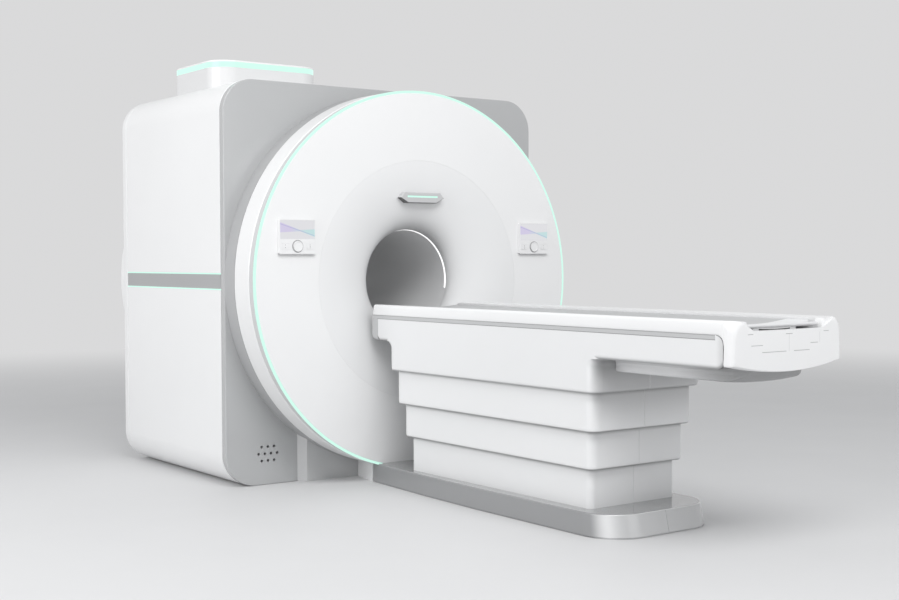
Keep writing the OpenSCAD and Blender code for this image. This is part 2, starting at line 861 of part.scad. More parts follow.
// A skirt with an inward flange at its foot and an outward one at its top
module skirt(level, z0, z1) {
    flange = 5;
    difference() {
        union() {
            loft(skirt_rings(level, z0, z1));
            loft([at_z(skirt_outline(level - 1, skirt_wall + 0.6), z1 - flange),
                  at_z(skirt_outline(level - 1, skirt_wall + 0.6), z1)]);
        }
        loft([at_z(skirt_outline(level, skirt_wall), z0 + flange),
              at_z(skirt_outline(level, skirt_wall), z1 + 1)]);
        flange_hole(level, z0 - 1, z0 + flange + 1);
    }
}

module tier_upper() { color("whitesmoke") skirt(1, skirt_z[1], skirt_z[0] + skirt_overlap); }
module tier_lower() { color("whitesmoke") skirt(2, skirt_z[2], skirt_z[1] + skirt_overlap); }

module tier_fixed() {
    flange = 5;
    z1 = skirt_z[2] + skirt_overlap;
    color("whitesmoke") difference() {
        union() {
            loft([at_z(skirt_outline(3), plinth_h), at_z(skirt_outline(3), z1)]);
            loft([at_z(skirt_outline(2, skirt_wall + 0.6), z1 - flange),
                  at_z(skirt_outline(2, skirt_wall + 0.6), z1)]);
        }
        loft([at_z(skirt_outline(3, skirt_wall), plinth_h - 1), at_z(skirt_outline(3, skirt_wall), z1 + 1)]);
    }
}

// Plan of the plinth, drawn in at the sides and the far end: round far corners, and sides that
// draw in towards the gantry
function plinth_outline(side, end) = let (x = plinth_x - side, far = plinth_far - end,
                                          r = plinth_r - side, near_x = neck_far - side) concat(
    arc(-x + r, -far + r, r, 180, 270, 12), arc(x - r, -far + r, r, 270, 360, 12),
    [[x, -plinth_bow], [x - (x - near_x) * 0.3, -plinth_ease], [near_x, -neck_end],
     [-near_x, -neck_end], [-x + (x - near_x) * 0.3, -plinth_ease], [-x, -plinth_bow]]);

module plinth() {
    wall = 8;
    rim = 60;
    hollow = round_outline(-neck_far + rim, neck_far - rim, -plinth_far + plinth_end_slope + rim,
                           -neck_end - rim, rim);
    color("darkgray") difference() {
        loft([at_z(plinth_outline(plinth_toe, plinth_toe), 0),
              at_z(plinth_outline(plinth_toe, plinth_toe), 6),
              at_z(plinth_outline(0, 0), 7),
              at_z(plinth_outline(plinth_side_slope - 1, plinth_end_slope - 1), plinth_h - 7),
              at_z(plinth_outline(plinth_side_slope + 1, plinth_end_slope + 1), plinth_h - 2),
              at_z(plinth_outline(plinth_side_slope + 4, plinth_end_slope + 4), plinth_h)]);
        loft([at_z(hollow, -1), at_z(hollow, plinth_h - wall)]);
        loft([at_z(skirt_outline(3, 40), plinth_h - 2 * wall), at_z(skirt_outline(3, 40), plinth_h + 1)]);
        about_bore() translate([0, 0, -face_y - fit]) cylinder(r = ring_r + fit, h = face_y);
    }
}

module table_base() {
    color("dimgray") difference() {
        translate([-base_w / 2, -base_far, 0]) cube([base_w, base_far - base_near, base_t]);
        for (s = [-1, 1]) for (y = [base_near + base_bolt_end, (base_near + base_far) / 2,
                                    base_far - base_bolt_end])
            translate([s * base_bolt_x, -y, -1]) cylinder(d = 18, h = base_t + 2, $fn = 32);
    }
}

// Lifting columns

module tube_box(w, wall, z0, z1, y) {
    difference() {
        translate([-w / 2, -y - w / 2, z0]) cube([w, w, z1 - z0]);
        translate([-w / 2 + wall, -y - w / 2 + wall, z0 - 1]) cube([w - 2 * wall, w - 2 * wall, z1 - z0 + 2]);
    }
}

module columns_outer() {
    color("silver") for (y = column_y) tube_box(column_w, column_wall, base_t, column_outer_top, y);
}
module columns_middle() {
    color("gainsboro") for (y = column_y)
        tube_box(middle_w, column_wall, column_middle_z, column_middle_z + column_l, y);
}
module columns_inner() {
    color("silver") for (y = column_y)
        tube_box(inner_w, column_wall, lift_frame_z - column_l, lift_frame_z, y);
}

module lift_frame() {
    x = table_x - body_wall - fit;
    rib_x = 200;
    rib_w = 40;
    l = base_far - base_near;
    color("slategray") {
        translate([-x, -base_far, lift_frame_z]) cube([2 * x, l, lift_frame_t]);
        for (s = [-1, 1]) translate([s * rib_x - rib_w / 2, -base_far, lift_frame_z + lift_frame_t - e])
            cube([rib_w, l, bed_z - lift_frame_z - lift_frame_t + e]);
    }
}

// Table body

// Cross-section of the table's overhanging body with round lower edges
function beam_section(half, z0, z1, r) = concat(
    arc(-half + r, z0 + r, r, 180, 270, 5), arc(half - r, z0 + r, r, 270, 360, 5),
    [[half, z1], [-half, z1]]);

// How far a round corner has drawn in at a distance from its end
function corner_drop(r, d) = d >= r ? 0 : r - sqrt(r * r - (r - d) * (r - d));

function beam_ring(y, end, r_end, side_r, top_z = bed_z) = let (d = abs(end - y)) at_y(beam_section(
    table_x - corner_drop(side_r, d), beam_z + corner_drop(r_end, d), top_z, beam_edge), -y);

// Overhanging beam. Its far end rises beside the slide bed to the seam under the table top.
module beam_solid() {
    seam_r = beam_end_r;
    loft(concat(
        [for (d = [0, 2.5, 8, 20]) beam_ring(beam_near + d, beam_near, 20, 3)],
        [beam_ring(beam_far - seam_r - 3 + e, beam_far, seam_r, 3)]));
    loft([for (d = [seam_r + 3, 28, 16, 8, 2.5, 0])
        beam_ring(beam_far - d, beam_far, seam_r, 3, bed_top - corner_drop(seam_r, d))]);
}

// Skirt of the table body, flaring into the overhangs with a hollow fillet; it can be drawn larger
module body_skirt(grow = 0) {
    fillet = 44;
    function flared(z) = let (f = corner_drop(fillet, max(beam_z - z, 0)) + grow) at_z(round_outline(
        -table_x - grow, table_x + grow, -skirt_far - f, -skirt_near + f, 60, 7), z);
    loft(concat(
        [at_z(skirt_outline(0, 9 - grow), skirt_z[0]), at_z(skirt_outline(0, 4 - grow), skirt_z[0] + 3),
         at_z(skirt_outline(0, 1 - grow), skirt_z[0] + 9), at_z(skirt_outline(0, -grow), skirt_z[0] + 17)],
        [for (d = [fillet, 30, 18, 9, 3, 0]) flared(beam_z - d)],
        [flared(beam_z + beam_edge + 2)]));
}

module table_body() {
    flange = 5;
    color("white") difference() {
        union() {
            beam_solid();
            body_skirt();
        }
        translate([-table_x + body_wall, -beam_far + body_wall + 44, beam_z + body_wall])
            cube([2 * (table_x - body_wall), beam_far - beam_near - 2 * body_wall - 54, bed_z]);
        loft([at_z(skirt_outline(0, skirt_wall), skirt_z[0] + flange),
              at_z(skirt_outline(0, skirt_wall), beam_z + body_wall + 1)]);
        flange_hole(0, skirt_z[0] - 1, skirt_z[0] + flange + 1);
    }
}

// Cross-section of the under tray: a bowed bottom, round edges and sides that flare at the top
function tray_section(half, low) = let (
    high = beam_z - fit, flare = tray_h * 0.45, edge = tray_h / 7, z = low + tray_bow,
    side = [[half - edge / 3, z + edge / 3], [half, z + edge], [half, max(high - flare, z + edge + 0.1)],
            [half + flare * 0.17, max(high - flare * 0.6, z + edge + 0.2)],
            [half + flare * 0.5, max(high - flare * 0.25, z + edge + 0.3)], [half + flare, high]]) concat(
    [for (i = [0:8]) let (t = i / 4 - 1) [t * (half - edge), low + tray_bow * t * t]],
    side, [for (i = [len(side) - 1:-1:0]) [-side[i][0], side[i][1]]]);

module under_tray() {
    low = beam_z - tray_h;
    color("gainsboro") difference() {
        // Along the rising end: distance, half width drawn in and rise of the underside
        loft([for (p = [[(skirt_far - tray_bow - tray_far) / tray_end, 0, 0], [0, 0, 0], [0.24, 0.03, 0.04],
                        [0.44, 0.13, 0.12], [0.63, 0.3, 0.24], [0.8, 0.54, 0.41], [0.93, 0.83, 0.62],
                        [1, 1, 0.79]])
            at_y(tray_section(tray_x * (1 - 0.41 * p[1]), low + p[2] * tray_h), -tray_far - p[0] * tray_end)]);
        body_skirt(1);
    }
}

// End of the slide bed: a plate that turns down in front of the table body, round at its lower edge
module bed_end() {
    r = 40;
    inner_r = 12;
    z0 = beam_z + 1;
    gap = beam_near - fit;
    intersection() {
        rotate([90, 0, 90]) translate([0, 0, -table_x]) linear_extrude(2 * table_x) polygon(concat(
            [[-gap, bed_z + e], [-bed_near, bed_z + e]], arc(-bed_near - r, z0 + r, r, 0, -90),
            arc(-gap + inner_r, z0 + inner_r, inner_r, -90, -180)));
        along_y(-beam_far, 0) polygon(beam_section(bed_half, z0, bed_top, beam_edge));
    }
}

module slide_bed() {
    slot = 16;
    color("silver") difference() {
        union() {
            translate([0, 0, bed_z]) linear_extrude(bed_t)
                round_rect(-bed_half, bed_half, -bed_far, -bed_near, 3);
            bed_end();
            for (s = [-1, 1]) translate([s * rail_x - rail_w / 2, -bed_far + 4, bed_top - e])
                cube([rail_w, bed_far - bed_near - 8, rail_h + e]);
            for (y = [drive_y, idler_y]) for (s = [-1, 1])
                translate([s * (belt_w / 2 + 8) - (s < 0 ? bracket_t : 0), -y - 22, pulley_z - 22])
                    cube([bracket_t, 44, bed_z - pulley_z + 22 + e]);
        }
        translate([-slot, -lug_y - 40, bed_z - 1]) cube([2 * slot, cradle_travel + 80, bed_t + rail_h + 2]);
        for (y = [drive_y, idler_y]) translate([0, -y, pulley_z]) rotate([0, 90, 0])
            cylinder(r = shaft_r + shaft_fit, h = 200, center = true);
    }
}

// Cradle drive

module pulley(y, shaft) {
    color("dimgray") translate([0, -y, pulley_z]) rotate([0, 90, 0]) {
        cylinder(r = pulley_r, h = belt_w + 6, center = true);
        for (s = [-1, 1]) translate([0, 0, s * (belt_w / 2 + 3.5)])
            cylinder(r = pulley_r + 6, h = 3, center = true);
        translate([0, 0, -belt_w / 2 - 8 - bracket_t])
            cylinder(r = shaft_r, h = belt_w + 16 + bracket_t + shaft);
    }
}
module drive_pulley() { pulley(drive_y, 46); }
module idler_pulley() { pulley(idler_y, bracket_t); }

module drive_belt() {
    r = pulley_r + fit;
    color("black") translate([-belt_w / 2, 0, 0]) rotate([90, 0, 90]) linear_extrude(belt_w) difference() {
        union() {
            for (y = [drive_y, idler_y]) translate([-y, pulley_z]) circle(r + belt_t);
            translate([-drive_y, pulley_z - r - belt_t]) square([drive_y - idler_y, 2 * (r + belt_t)]);
        }
        for (y = [drive_y, idler_y]) translate([-y, pulley_z]) circle(r);
        translate([-drive_y, pulley_z - r]) square([drive_y - idler_y, 2 * r]);
    }
}

module drive_motor() {
    x0 = belt_w / 2 + 8 + bracket_t;
    gear_w = 62;
    gear_h = 76;
    motor_r = 34;
    motor_l = 130;
    color("dimgray") difference() {
        union() {
            translate([x0, -drive_y - gear_h / 2, pulley_z - gear_h / 2])
                cube([gear_w, gear_h, bed_z - pulley_z + gear_h / 2]);
            translate([x0 + gear_w - e, -drive_y, pulley_z]) rotate([0, 90, 0])
                cylinder(r = motor_r, h = motor_l);
        }
        translate([x0 - 1, -drive_y, pulley_z]) rotate([0, 90, 0]) cylinder(r = shaft_r + shaft_fit, h = 48);
    }
}

// Table top and cradle

// Cross-section of the table top; low and bow shape its underside
function top_section(half, low, bow, high, edge) = concat(
    [for (i = [0:10]) let (t = i / 5 - 1) [t * (half - 3), low - bow * (1 - t * t)]],
    [[half, low + 8], [half - 3, high - edge - 8]],
    arc(half - 5 - edge, high - edge, edge, 10, 90, 6),
    [[channel_x, high - 5], [-channel_x, high - 5]],
    arc(-half + 5 + edge, high - edge, edge, 90, 170, 6),
    [[-half + 3, high - edge - 8], [-half, low + 8]]);

// Cross-section of one rim, from the channel to the outer side
function rim_section(half, high) = let (low = bed_top + fit) concat(
    [[channel_x, low], [half - 3, low], [half, low + 8], [half - 3, high - 24]],
    arc(half - 19, high - 14, 14, 10, 90, 5), [[channel_x, high - 5]]);

// Thin slice of a cross-section, for the hulls between two places along the table
module slice(points, y) { along_y(-y, -y + 0.02) polygon(points); }

module table_top() {
    seam_r = 45;
    low = bed_top + fit;
    cap_low = 846;
    bow = 36;
    channel_end = table_far - 19;
    turn = [for (d = [seam_r, 30, 18, 8, 0]) [table_far - d, low - corner_drop(seam_r, d)]];
    // Distance from the seam, half width drawn in, drop of the top and radius of the cheeks
    cap = [[0, 1, 0, 16], [cap_l - 33, 2, 0, 24], [cap_l - 22, 4, 1, 36], [cap_l - 12, 8, 3, 48],
           [cap_l - 5, 14, 7, 56], [cap_l - 1.5, 21, 12, 60], [cap_l, 27, 17, 62]];
    // Room for the far end of the table body, all across the table
    module body_end() {
        rotate([90, 0, 90]) translate([0, 0, -table_x - 1]) linear_extrude(2 * table_x + 2) polygon(concat(
            [[-beam_far + beam_end_r, bed_z - 60]],
            arc(-beam_far + beam_end_r, bed_top - beam_end_r, beam_end_r + fit, 90, 180, 12),
            [[-beam_far - fit, bed_z - 60]]));
    }
    module cap_slice(c) {
        slice(top_section(table_x - c[1], cap_low + c[1] / 5, bow, rim_z - c[2], c[3]), table_far + c[0]);
    }
    notch_low = rim_z - 45;
    notch_x = 222;
    notch_slope = 80;
    color("white") difference() {
        union() {
            for (s = [0, 1]) mirror([s, 0, 0]) hull() {
                for (d = [0, 2, 6, 12, 20, 30]) slice(rim_section(
                    table_x - corner_drop(30, d), rim_z - corner_drop(30, d) / 3), table_near + d);
                slice(rim_section(table_x, rim_z), channel_end + 1);
            }
            for (i = [0:len(turn) - 2]) hull() {
                slice(top_section(table_x, turn[i][1], 0, rim_z, 14), turn[i][0]);
                slice(top_section(table_x, turn[i + 1][1], 0, rim_z, 14), turn[i + 1][0] + 1);
            }
            for (i = [0:len(cap) - 2]) hull() {
                cap_slice(cap[i]);
                cap_slice(cap[i + 1]);
            }
        }
        body_end();
        translate([-channel_x, -channel_end, low - 40]) cube([2 * channel_x, 100, 200]);
        translate([-channel_x + 20, -pocket_far, bed_z + 5])
            cube([2 * channel_x - 40, pocket_far - channel_end + 1, 200]);
        along_y(-table_far - cap_l - 1, -pocket_far + 1) polygon(
            [[-notch_x, notch_low], [notch_x, notch_low], [notch_x + notch_slope, rim_z - 4],
             [notch_x + notch_slope, rim_z + 9], [-notch_x - notch_slope, rim_z + 9],
             [-notch_x - notch_slope, rim_z - 4]]);
        along_y(-pocket_far, -channel_end + e) polygon(
            [[-channel_x + 20, notch_low], [channel_x - 20, notch_low], [channel_x, rim_z - 5],
             [channel_x, rim_z + 9], [-channel_x, rim_z + 9], [-channel_x, rim_z - 5]]);
    }
}

module cradle() {
    n = 16;
    runner_z = rail_top + fit;
    r = (cradle_x * cradle_x + cradle_sag * cradle_sag) / (2 * cradle_sag);
    a = asin(cradle_x / r);
    trough = [for (i = [0:n]) let (t = -a + 2 * a * i / n)
        [r * sin(t), cradle_edge + r * cos(a) - r * cos(t)]];
    under = [for (i = [n:-1:0]) let (t = -a + 2 * a * i / n)
        [(r - 8) * sin(t) * 0.97, cradle_edge + r * cos(a) - r * cos(t) - cradle_t]];
    color("gray") {
        intersection() {
            union() {
                along_y(-cradle_far, -cradle_near) polygon(concat(trough, under));
                for (s = [-1, 1]) translate([s * rail_x - rail_w / 2 + 3, -cradle_far, runner_z])
                    cube([rail_w - 6, cradle_far - cradle_near,
                          cradle_edge - cradle_sag - runner_z - cradle_t / 2]);
            }
            linear_extrude(2 * rim_z) round_rect(-cradle_x, cradle_x, -cradle_far, -cradle_near, 40);
        }
        difference() {
            translate([-14, -lug_y - 20, pulley_z + pulley_r - 8])
                cube([28, 40, cradle_edge - cradle_sag - cradle_t / 2 - pulley_z - pulley_r + 8]);
            translate([-15, -lug_y - 21, pulley_z + pulley_r + fit - 0.5])
                cube([15 + belt_w / 2 + 0.5, 42, belt_t + 1]);
        }
    }
}

module cradle_handle() {
    half = channel_x - 26;
    color("silver") {
        translate([-half, -handle_y, handle_z]) rotate([0, 90, 0])
            cylinder(r = handle_r, h = 2 * half, $fn = 48);
        for (s = [-1, 1]) translate([s * (half - 40) - 12, -handle_y, handle_z - 5])
            cube([24, handle_y - cradle_far, 10]);
    }
}

at_origin() base_frame();
at_origin() magnet_vessel();
at_origin() gradient_coil();
at_origin() body_coil();
at_origin() bore_tube();
at_origin() cold_head();
at_origin() turret_cover();
at_origin() turret_light();
at_origin() turret_cap();
at_origin() front_frame();
at_origin() rear_frame();
at_origin() upper_cover();
at_origin() lower_cover_left();
at_origin() lower_cover_right();
at_origin() side_bands();
at_origin() side_lights();
at_origin() neck_ring();
at_origin() front_rim();
at_origin() rim_trim();
at_origin() ring_light();
at_origin() front_face();
at_origin() bore_funnel();
at_origin() bore_light();
at_origin() visor();
at_origin() visor_light();
at_origin() panel_left();
at_origin() panel_right();
at_origin() screen_left();
at_origin() screen_right();
at_origin() dial_left();
at_origin() dial_right();
at_origin() key_left_outer();
at_origin() key_left_inner();
at_origin() key_right_inner();
at_origin() key_right_outer();
at_origin() speaker();
at_origin() front_pedestal();
at_origin() pedestal_neck();
at_origin() rear_cover();
at_origin() rear_funnel();
at_origin() bore_bridge();
at_origin() table_base();
at_origin() plinth();
at_origin() tier_fixed();
at_origin() tier_lower();
at_origin() tier_upper();
at_origin() table_body();
at_origin() slide_bed();
at_origin() table_top();
at_origin() cradle();
at_origin() cradle_handle();
at_origin() under_tray();
at_origin() lift_frame();
at_origin() columns_outer();
at_origin() columns_middle();
at_origin() columns_inner();
at_origin() drive_motor();
at_origin() drive_belt();
at_origin() drive_pulley();
at_origin() idler_pulley();
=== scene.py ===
import math

import bmesh
import bpy
from mathutils import Matrix, Vector


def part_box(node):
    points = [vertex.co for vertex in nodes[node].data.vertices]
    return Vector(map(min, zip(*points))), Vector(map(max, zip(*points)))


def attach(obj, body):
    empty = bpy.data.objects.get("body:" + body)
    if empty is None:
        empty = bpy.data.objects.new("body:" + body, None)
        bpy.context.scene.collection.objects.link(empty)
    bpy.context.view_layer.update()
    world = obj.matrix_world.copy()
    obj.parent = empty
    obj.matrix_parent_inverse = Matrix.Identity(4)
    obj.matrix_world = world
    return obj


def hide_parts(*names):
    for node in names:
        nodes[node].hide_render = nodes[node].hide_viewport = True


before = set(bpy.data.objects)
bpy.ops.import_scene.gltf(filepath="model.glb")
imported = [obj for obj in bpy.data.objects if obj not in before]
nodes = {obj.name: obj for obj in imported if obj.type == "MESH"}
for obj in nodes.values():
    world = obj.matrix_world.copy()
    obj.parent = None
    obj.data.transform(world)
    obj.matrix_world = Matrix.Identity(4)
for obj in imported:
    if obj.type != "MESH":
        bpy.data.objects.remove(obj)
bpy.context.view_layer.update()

# Studio
# The camera stands where the photograph was taken from, to the left of the patient table at
# chest height. The floor is pale and fades into the backdrop, and the light is broad and soft.

camera_place = (-4.501, -5.9865, 1.300)
camera_yaw = math.radians(36.226)
camera_pitch = math.radians(1.806)
camera_roll = math.radians(-0.216)
photo_width = 899
focal_pixels = 1328.5

camera_data = bpy.data.cameras.new("camera")
camera_data.sensor_width = 36
camera_data.lens = camera_data.sensor_width * focal_pixels / photo_width
camera = bpy.data.objects.new("camera", camera_data)
facing = Matrix.Rotation(-camera_yaw, 4, "Z") @ Matrix.Rotation(math.pi / 2 - camera_pitch, 4, "X")
camera.matrix_world = Matrix.Translation(camera_place) @ facing @ Matrix.Rotation(camera_roll, 4, "Z")
bpy.context.scene.collection.objects.link(camera)
bpy.context.scene.camera = camera
bpy.context.scene.view_settings.view_transform = "Standard"


class Tone:
    """A value on its way through a material's nodes: sums and products read as arithmetic."""

    def __init__(self, finish, socket):
        self.finish = finish
        self.socket = socket

    def maths(self, operation, first, second):
        return self.finish.node("ShaderNodeMath", {"operation": operation}, {0: first, 1: second})

    def __add__(self, other):
        return self.maths("ADD", self, other)

    def __radd__(self, other):
        return self.maths("ADD", other, self)

    def __sub__(self, other):
        return self.maths("SUBTRACT", self, other)

    def __rsub__(self, other):
        return self.maths("SUBTRACT", other, self)

    def __mul__(self, other):
        return self.maths("MULTIPLY", self, other)

    def __rmul__(self, other):
        return self.maths("MULTIPLY", other, self)

    def __truediv__(self, other):
        return self.maths("DIVIDE", self, other)

    def __gt__(self, other):
        return self.maths("GREATER_THAN", self, other)

    def __lt__(self, other):
        return self.maths("LESS_THAN", self, other)

    def __abs__(self):
        return self.finish.node("ShaderNodeMath", {"operation": "ABSOLUTE"}, {0: self})

    def root(self):
        return self.finish.node("ShaderNodeMath", {"operation": "SQRT"}, {0: self})


class Finish:
    """A procedural material. node() adds any node, and give() sets the shader's own sockets."""

    def __init__(self, name, color, roughness):
        self.material = bpy.data.materials.new(name)
        self.material.use_nodes = True
        self.tree = self.material.node_tree
        self.shader = self.tree.nodes["Principled BSDF"]
        self.give({"Base Color": (*color, 1), "Roughness": roughness})

    def fill(self, node, inputs):
        for key, value in inputs.items():
            if isinstance(value, Tone):
                self.tree.links.new(value.socket, node.inputs[key])
            else:
                node.inputs[key].default_value = value

    def give(self, inputs):
        self.fill(self.shader, inputs)

    def node(self, kind, settings=None, inputs=None, output=0):
        node = self.tree.nodes.new(kind)
        for key, value in (settings or {}).items():
            if key == "stops":
                for stop, (place, color) in zip(node.color_ramp.elements, value):
                    stop.position = place
                    stop.color = (*color, 1)
            else:
                setattr(node, key, value)
        self.fill(node, inputs or {})
        return Tone(self, node.outputs[output])

    def place(self):
        return self.node("ShaderNodeTexCoord", output="Object")

    def axes(self):
        """The place on the object, in metres, as three tones."""
        split = self.node("ShaderNodeSeparateXYZ", inputs={0: self.place()}).socket.node
        return [Tone(self, split.outputs[i]) for i in range(3)]

    def noise(self, scale, detail=2.0):
        return self.node("ShaderNodeTexNoise", inputs={
            "Vector": self.place(), "Scale": scale, "Detail": detail, "Roughness": 0.5})

    def mix(self, share, first, second):
        """A colour between two others; share 0 is the first."""
        return self.node("ShaderNodeMix", {"data_type": "RGBA"}, {0: share, 6: first, 7: second}, output=2)

    def ease(self, value, low, high):
        """0 below low, 1 above high and smooth between."""
        return self.node("ShaderNodeMapRange", {"interpolation_type": "SMOOTHSTEP"},
                         {"Value": value, "From Min": low, "From Max": high})

    def color_so_far(self):
        return Tone(self, self.shader.inputs["Base Color"].links[0].from_socket)

    def darken(self, share, shade=(0.02, 0.02, 0.022)):
        """Lays a shade over the colour so far."""
        self.give({"Base Color": self.mix(share, self.color_so_far(), (*shade, 1))})

    def faces_low_end(self, axis):
        """1 where the surface faces the low end of a world axis, and less as it turns away."""
        normal = self.node("ShaderNodeNewGeometry", output="Normal")
        return 0 - self.node("ShaderNodeSeparateXYZ", inputs={0: normal}, output=axis)

    def faces_far(self):
        """1 where the surface faces the table's far end, and less as it turns away."""
        return self.faces_low_end(1)

    def shade_under(self, depth):
        """Darkens what faces the floor, as painted shade."""
        self.darken(self.ease(self.faces_low_end(2), 0.25, 0.85) * depth)

    def bump(self, height, distance, strength):
        return self.node("ShaderNodeBump", inputs={
            "Height": height, "Distance": distance, "Strength": strength})


def moulded(name, color, roughness, grain=0.00012, grain_scale=700, coat=0.0):
    """A moulded or sprayed surface: a fine grain, and a shade that drifts from place to place."""
    drift = 0.04
    finish = Finish(name, color, roughness)
    fine = finish.noise(grain_scale)
    broad = finish.noise(1.7, 3)
    darker = tuple(c * (1 - 2 * drift) for c in color)
    finish.give({
        "Base Color": finish.mix(broad * 0.5 + fine * 0.2, (*color, 1), (*darker, 1)),
        "Roughness": roughness - 0.05 + broad * 0.06 + fine * 0.04,
        "Normal": finish.bump(fine, grain, 0.5),
        "Coat Weight": coat,
        "Coat Roughness": 0.08})
    return finish


floor_size = 60
floor_tone = (0.70, 0.70, 0.705)
backdrop_tone = (0.70, 0.70, 0.705)
fade_from = 4.0
fade_to = 13.0
floor_corners = ((-1, -1), (1, -1), (1, 1), (-1, 1))
floor_mesh = bpy.data.meshes.new("floor")
floor_mesh.from_pydata([(x * floor_size, y * floor_size, 0) for x, y in floor_corners], [], [(0, 1, 2, 3)])
floor = bpy.data.objects.new("floor", floor_mesh)
bpy.context.scene.collection.objects.link(floor)
floor_paint = moulded("floor_paint", floor_tone, 0.6, grain=0.0003, grain_scale=300)
floor_x, floor_y, _ = floor_paint.axes()
from_middle = floor_x * floor_x + floor_y * floor_y
far_off = floor_paint.ease(from_middle, fade_from ** 2, fade_to ** 2)
glow = floor_paint.node("ShaderNodeEmission", inputs={"Color": (*backdrop_tone, 1)})
blended = floor_paint.node("ShaderNodeMixShader", inputs={
    0: far_off, 1: Tone(floor_paint, floor_paint.shader.outputs[0]), 2: glow})
floor_paint.tree.links.new(blended.socket, floor_paint.tree.nodes["Material Output"].inputs["Surface"])
floor_mesh.materials.append(floor_paint.material)

room_tone = (0.97, 0.985, 1.0)
room_strength = 0.58
world = bpy.data.worlds.new("room")
world.use_nodes = True
bpy.context.scene.world = world
room = world.node_tree
room_light = room.nodes["Background"]
room_light.inputs["Color"].default_value = (*room_tone, 1)
room_light.inputs["Strength"].default_value = room_strength
backdrop = room.nodes.new("ShaderNodeBackground")
backdrop.inputs["Color"].default_value = (*backdrop_tone, 1)
rays = room.nodes.new("ShaderNodeLightPath")
seen = rays.outputs["Is Camera Ray"]
for ray in ("Is Glossy Ray", "Is Transmission Ray"):
    either = room.nodes.new("ShaderNodeMath")
    either.operation = "ADD"
    room.links.new(seen, either.inputs[0])
    room.links.new(rays.outputs[ray], either.inputs[1])
    seen = either.outputs[0]
room_mix = room.nodes.new("ShaderNodeMixShader")
room.links.new(seen, room_mix.inputs[0])
room.links.new(room_light.outputs[0], room_mix.inputs[1])
room.links.new(backdrop.outputs[0], room_mix.inputs[2])
room.links.new(room_mix.outputs[0], room.nodes["World Output"].inputs["Surface"])


def softbox(name, place, aim, width, height, power):
    data = bpy.data.lights.new(name, "AREA")
    data.shape = "RECTANGLE"
    data.size = width
    data.size_y = height
    data.energy = power
    lamp = bpy.data.objects.new(name, data)
    lamp.location = place
    lamp.rotation_euler = (Vector(aim) - Vector(place)).to_track_quat("-Z", "Y").to_euler()
    bpy.context.scene.collection.objects.link(lamp)


softbox("key_light", (-2.2, -5.0, 6.0), (0.0, -0.2, 1.9), 5.0, 3.0, 290)
softbox("left_light", (-6.5, 0.5, 3.0), (-1.0, 1.2, 0.9), 4.0, 3.0, 135)
softbox("front_light", (1.5, -8.5, 2.6), (0.0, -1.0, 1.0), 4.0, 3.0, 36)

# Magnet and its frame
# A welded vessel with its service neck and cold head lies on two saddles of a steel frame. The
# gradient coil, cast in resin, and the copper rungs of the body coil sit in its warm bore. None
# of it shows once the covers are on.


def dress(finish, *names):
    """Gives a finish to pieces that keep the form of their solids."""
    for name in names:
        nodes[name].material_slots[0].material = finish.material


dress(moulded("vessel_paint", (0.62, 0.63, 0.64), 0.4), "magnet_vessel")
dress(moulded("coil_resin", (0.5, 0.36, 0.2), 0.45), "gradient_coil")
copper = moulded("coil_copper", (0.72, 0.38, 0.22), 0.3)
copper.give({"Metallic": 1.0})
dress(copper, "body_coil")
dress(moulded("frame_steel", (0.09, 0.095, 0.1), 0.5), "base_frame", "table_base", "lift_frame")
anodised = moulded("anodised", (0.6, 0.61, 0.62), 0.32)
anodised.give({"Metallic": 0.9})
dress(anodised, "cold_head", "columns_outer", "columns_middle", "columns_inner")

# Front and rear frames
# Two upright plates with a round opening carry the covers. The rear one is white, and the front
# one is lacquered in a glossy light grey, with ten round holes drilled low on its left, in front
# of a small speaker.

frame_low, frame_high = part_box("front_frame")
_, rear_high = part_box("rear_frame")
ring_low, ring_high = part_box("ring_light")
axis_z = (ring_low.z + ring_high.z) / 2
ring_r = (ring_high.x - ring_low.x) / 2
housing_x = frame_high.x
housing_z = frame_high.z
corner_r = 0.19
frame_hole_r = 1.01
front_t = 0.046
rear_t = 0.059
frame_edge = 0.006
frame_corner_steps = 20
frame_side_steps = 60
frame_back = frame_low.y + front_t
lacquer_grey = moulded("lacquer_grey", (0.46, 0.465, 0.47), 0.25, grain=0.00003, coat=0.6)


def bend(cx, cy, r, start, stop, steps):
    """Points along an arc; the angles are in degrees."""
    turns = [math.radians(start + (stop - start) * i / steps) for i in range(steps + 1)]
    return [(cx + r * math.cos(a), cy + r * math.sin(a)) for a in turns]


def rounded(x0, x1, y0, y1, r, corner, side=1):
    """Outline of a rectangle with round corners, with its sides cut into equal stretches."""
    arcs = [bend(x1 - r, y0 + r, r, -90, 0, corner), bend(x1 - r, y1 - r, r, 0, 90, corner),
            bend(x0 + r, y1 - r, r, 90, 180, corner), bend(x0 + r, y0 + r, r, 180, 270, corner)]
    points = []
    for arc, following in zip(arcs, arcs[1:] + arcs[:1]):
        points += arc
        a, b = arc[-1], following[0]
        points += [(a[0] + (b[0] - a[0]) * i / side, a[1] + (b[1] - a[1]) * i / side) for i in range(1, side)]
    return points


def skin(rings, round_trip=False):
    """Points and faces over rings of equal length; a round trip joins the last ring to the first."""
    n = len(rings[0])
    count = len(rings)
    points = [p for ring in rings for p in ring]
    faces = []
    for i in range(count if round_trip else count - 1):
        here, there = i * n, (i + 1) % count * n
        faces += [(here + j, here + (j + 1) % n, there + (j + 1) % n, there + j) for j in range(n)]
    if not round_trip:
        faces.append(tuple(range(n)))
        faces.append(tuple(range((count - 1) * n, count * n)))
    return points, faces


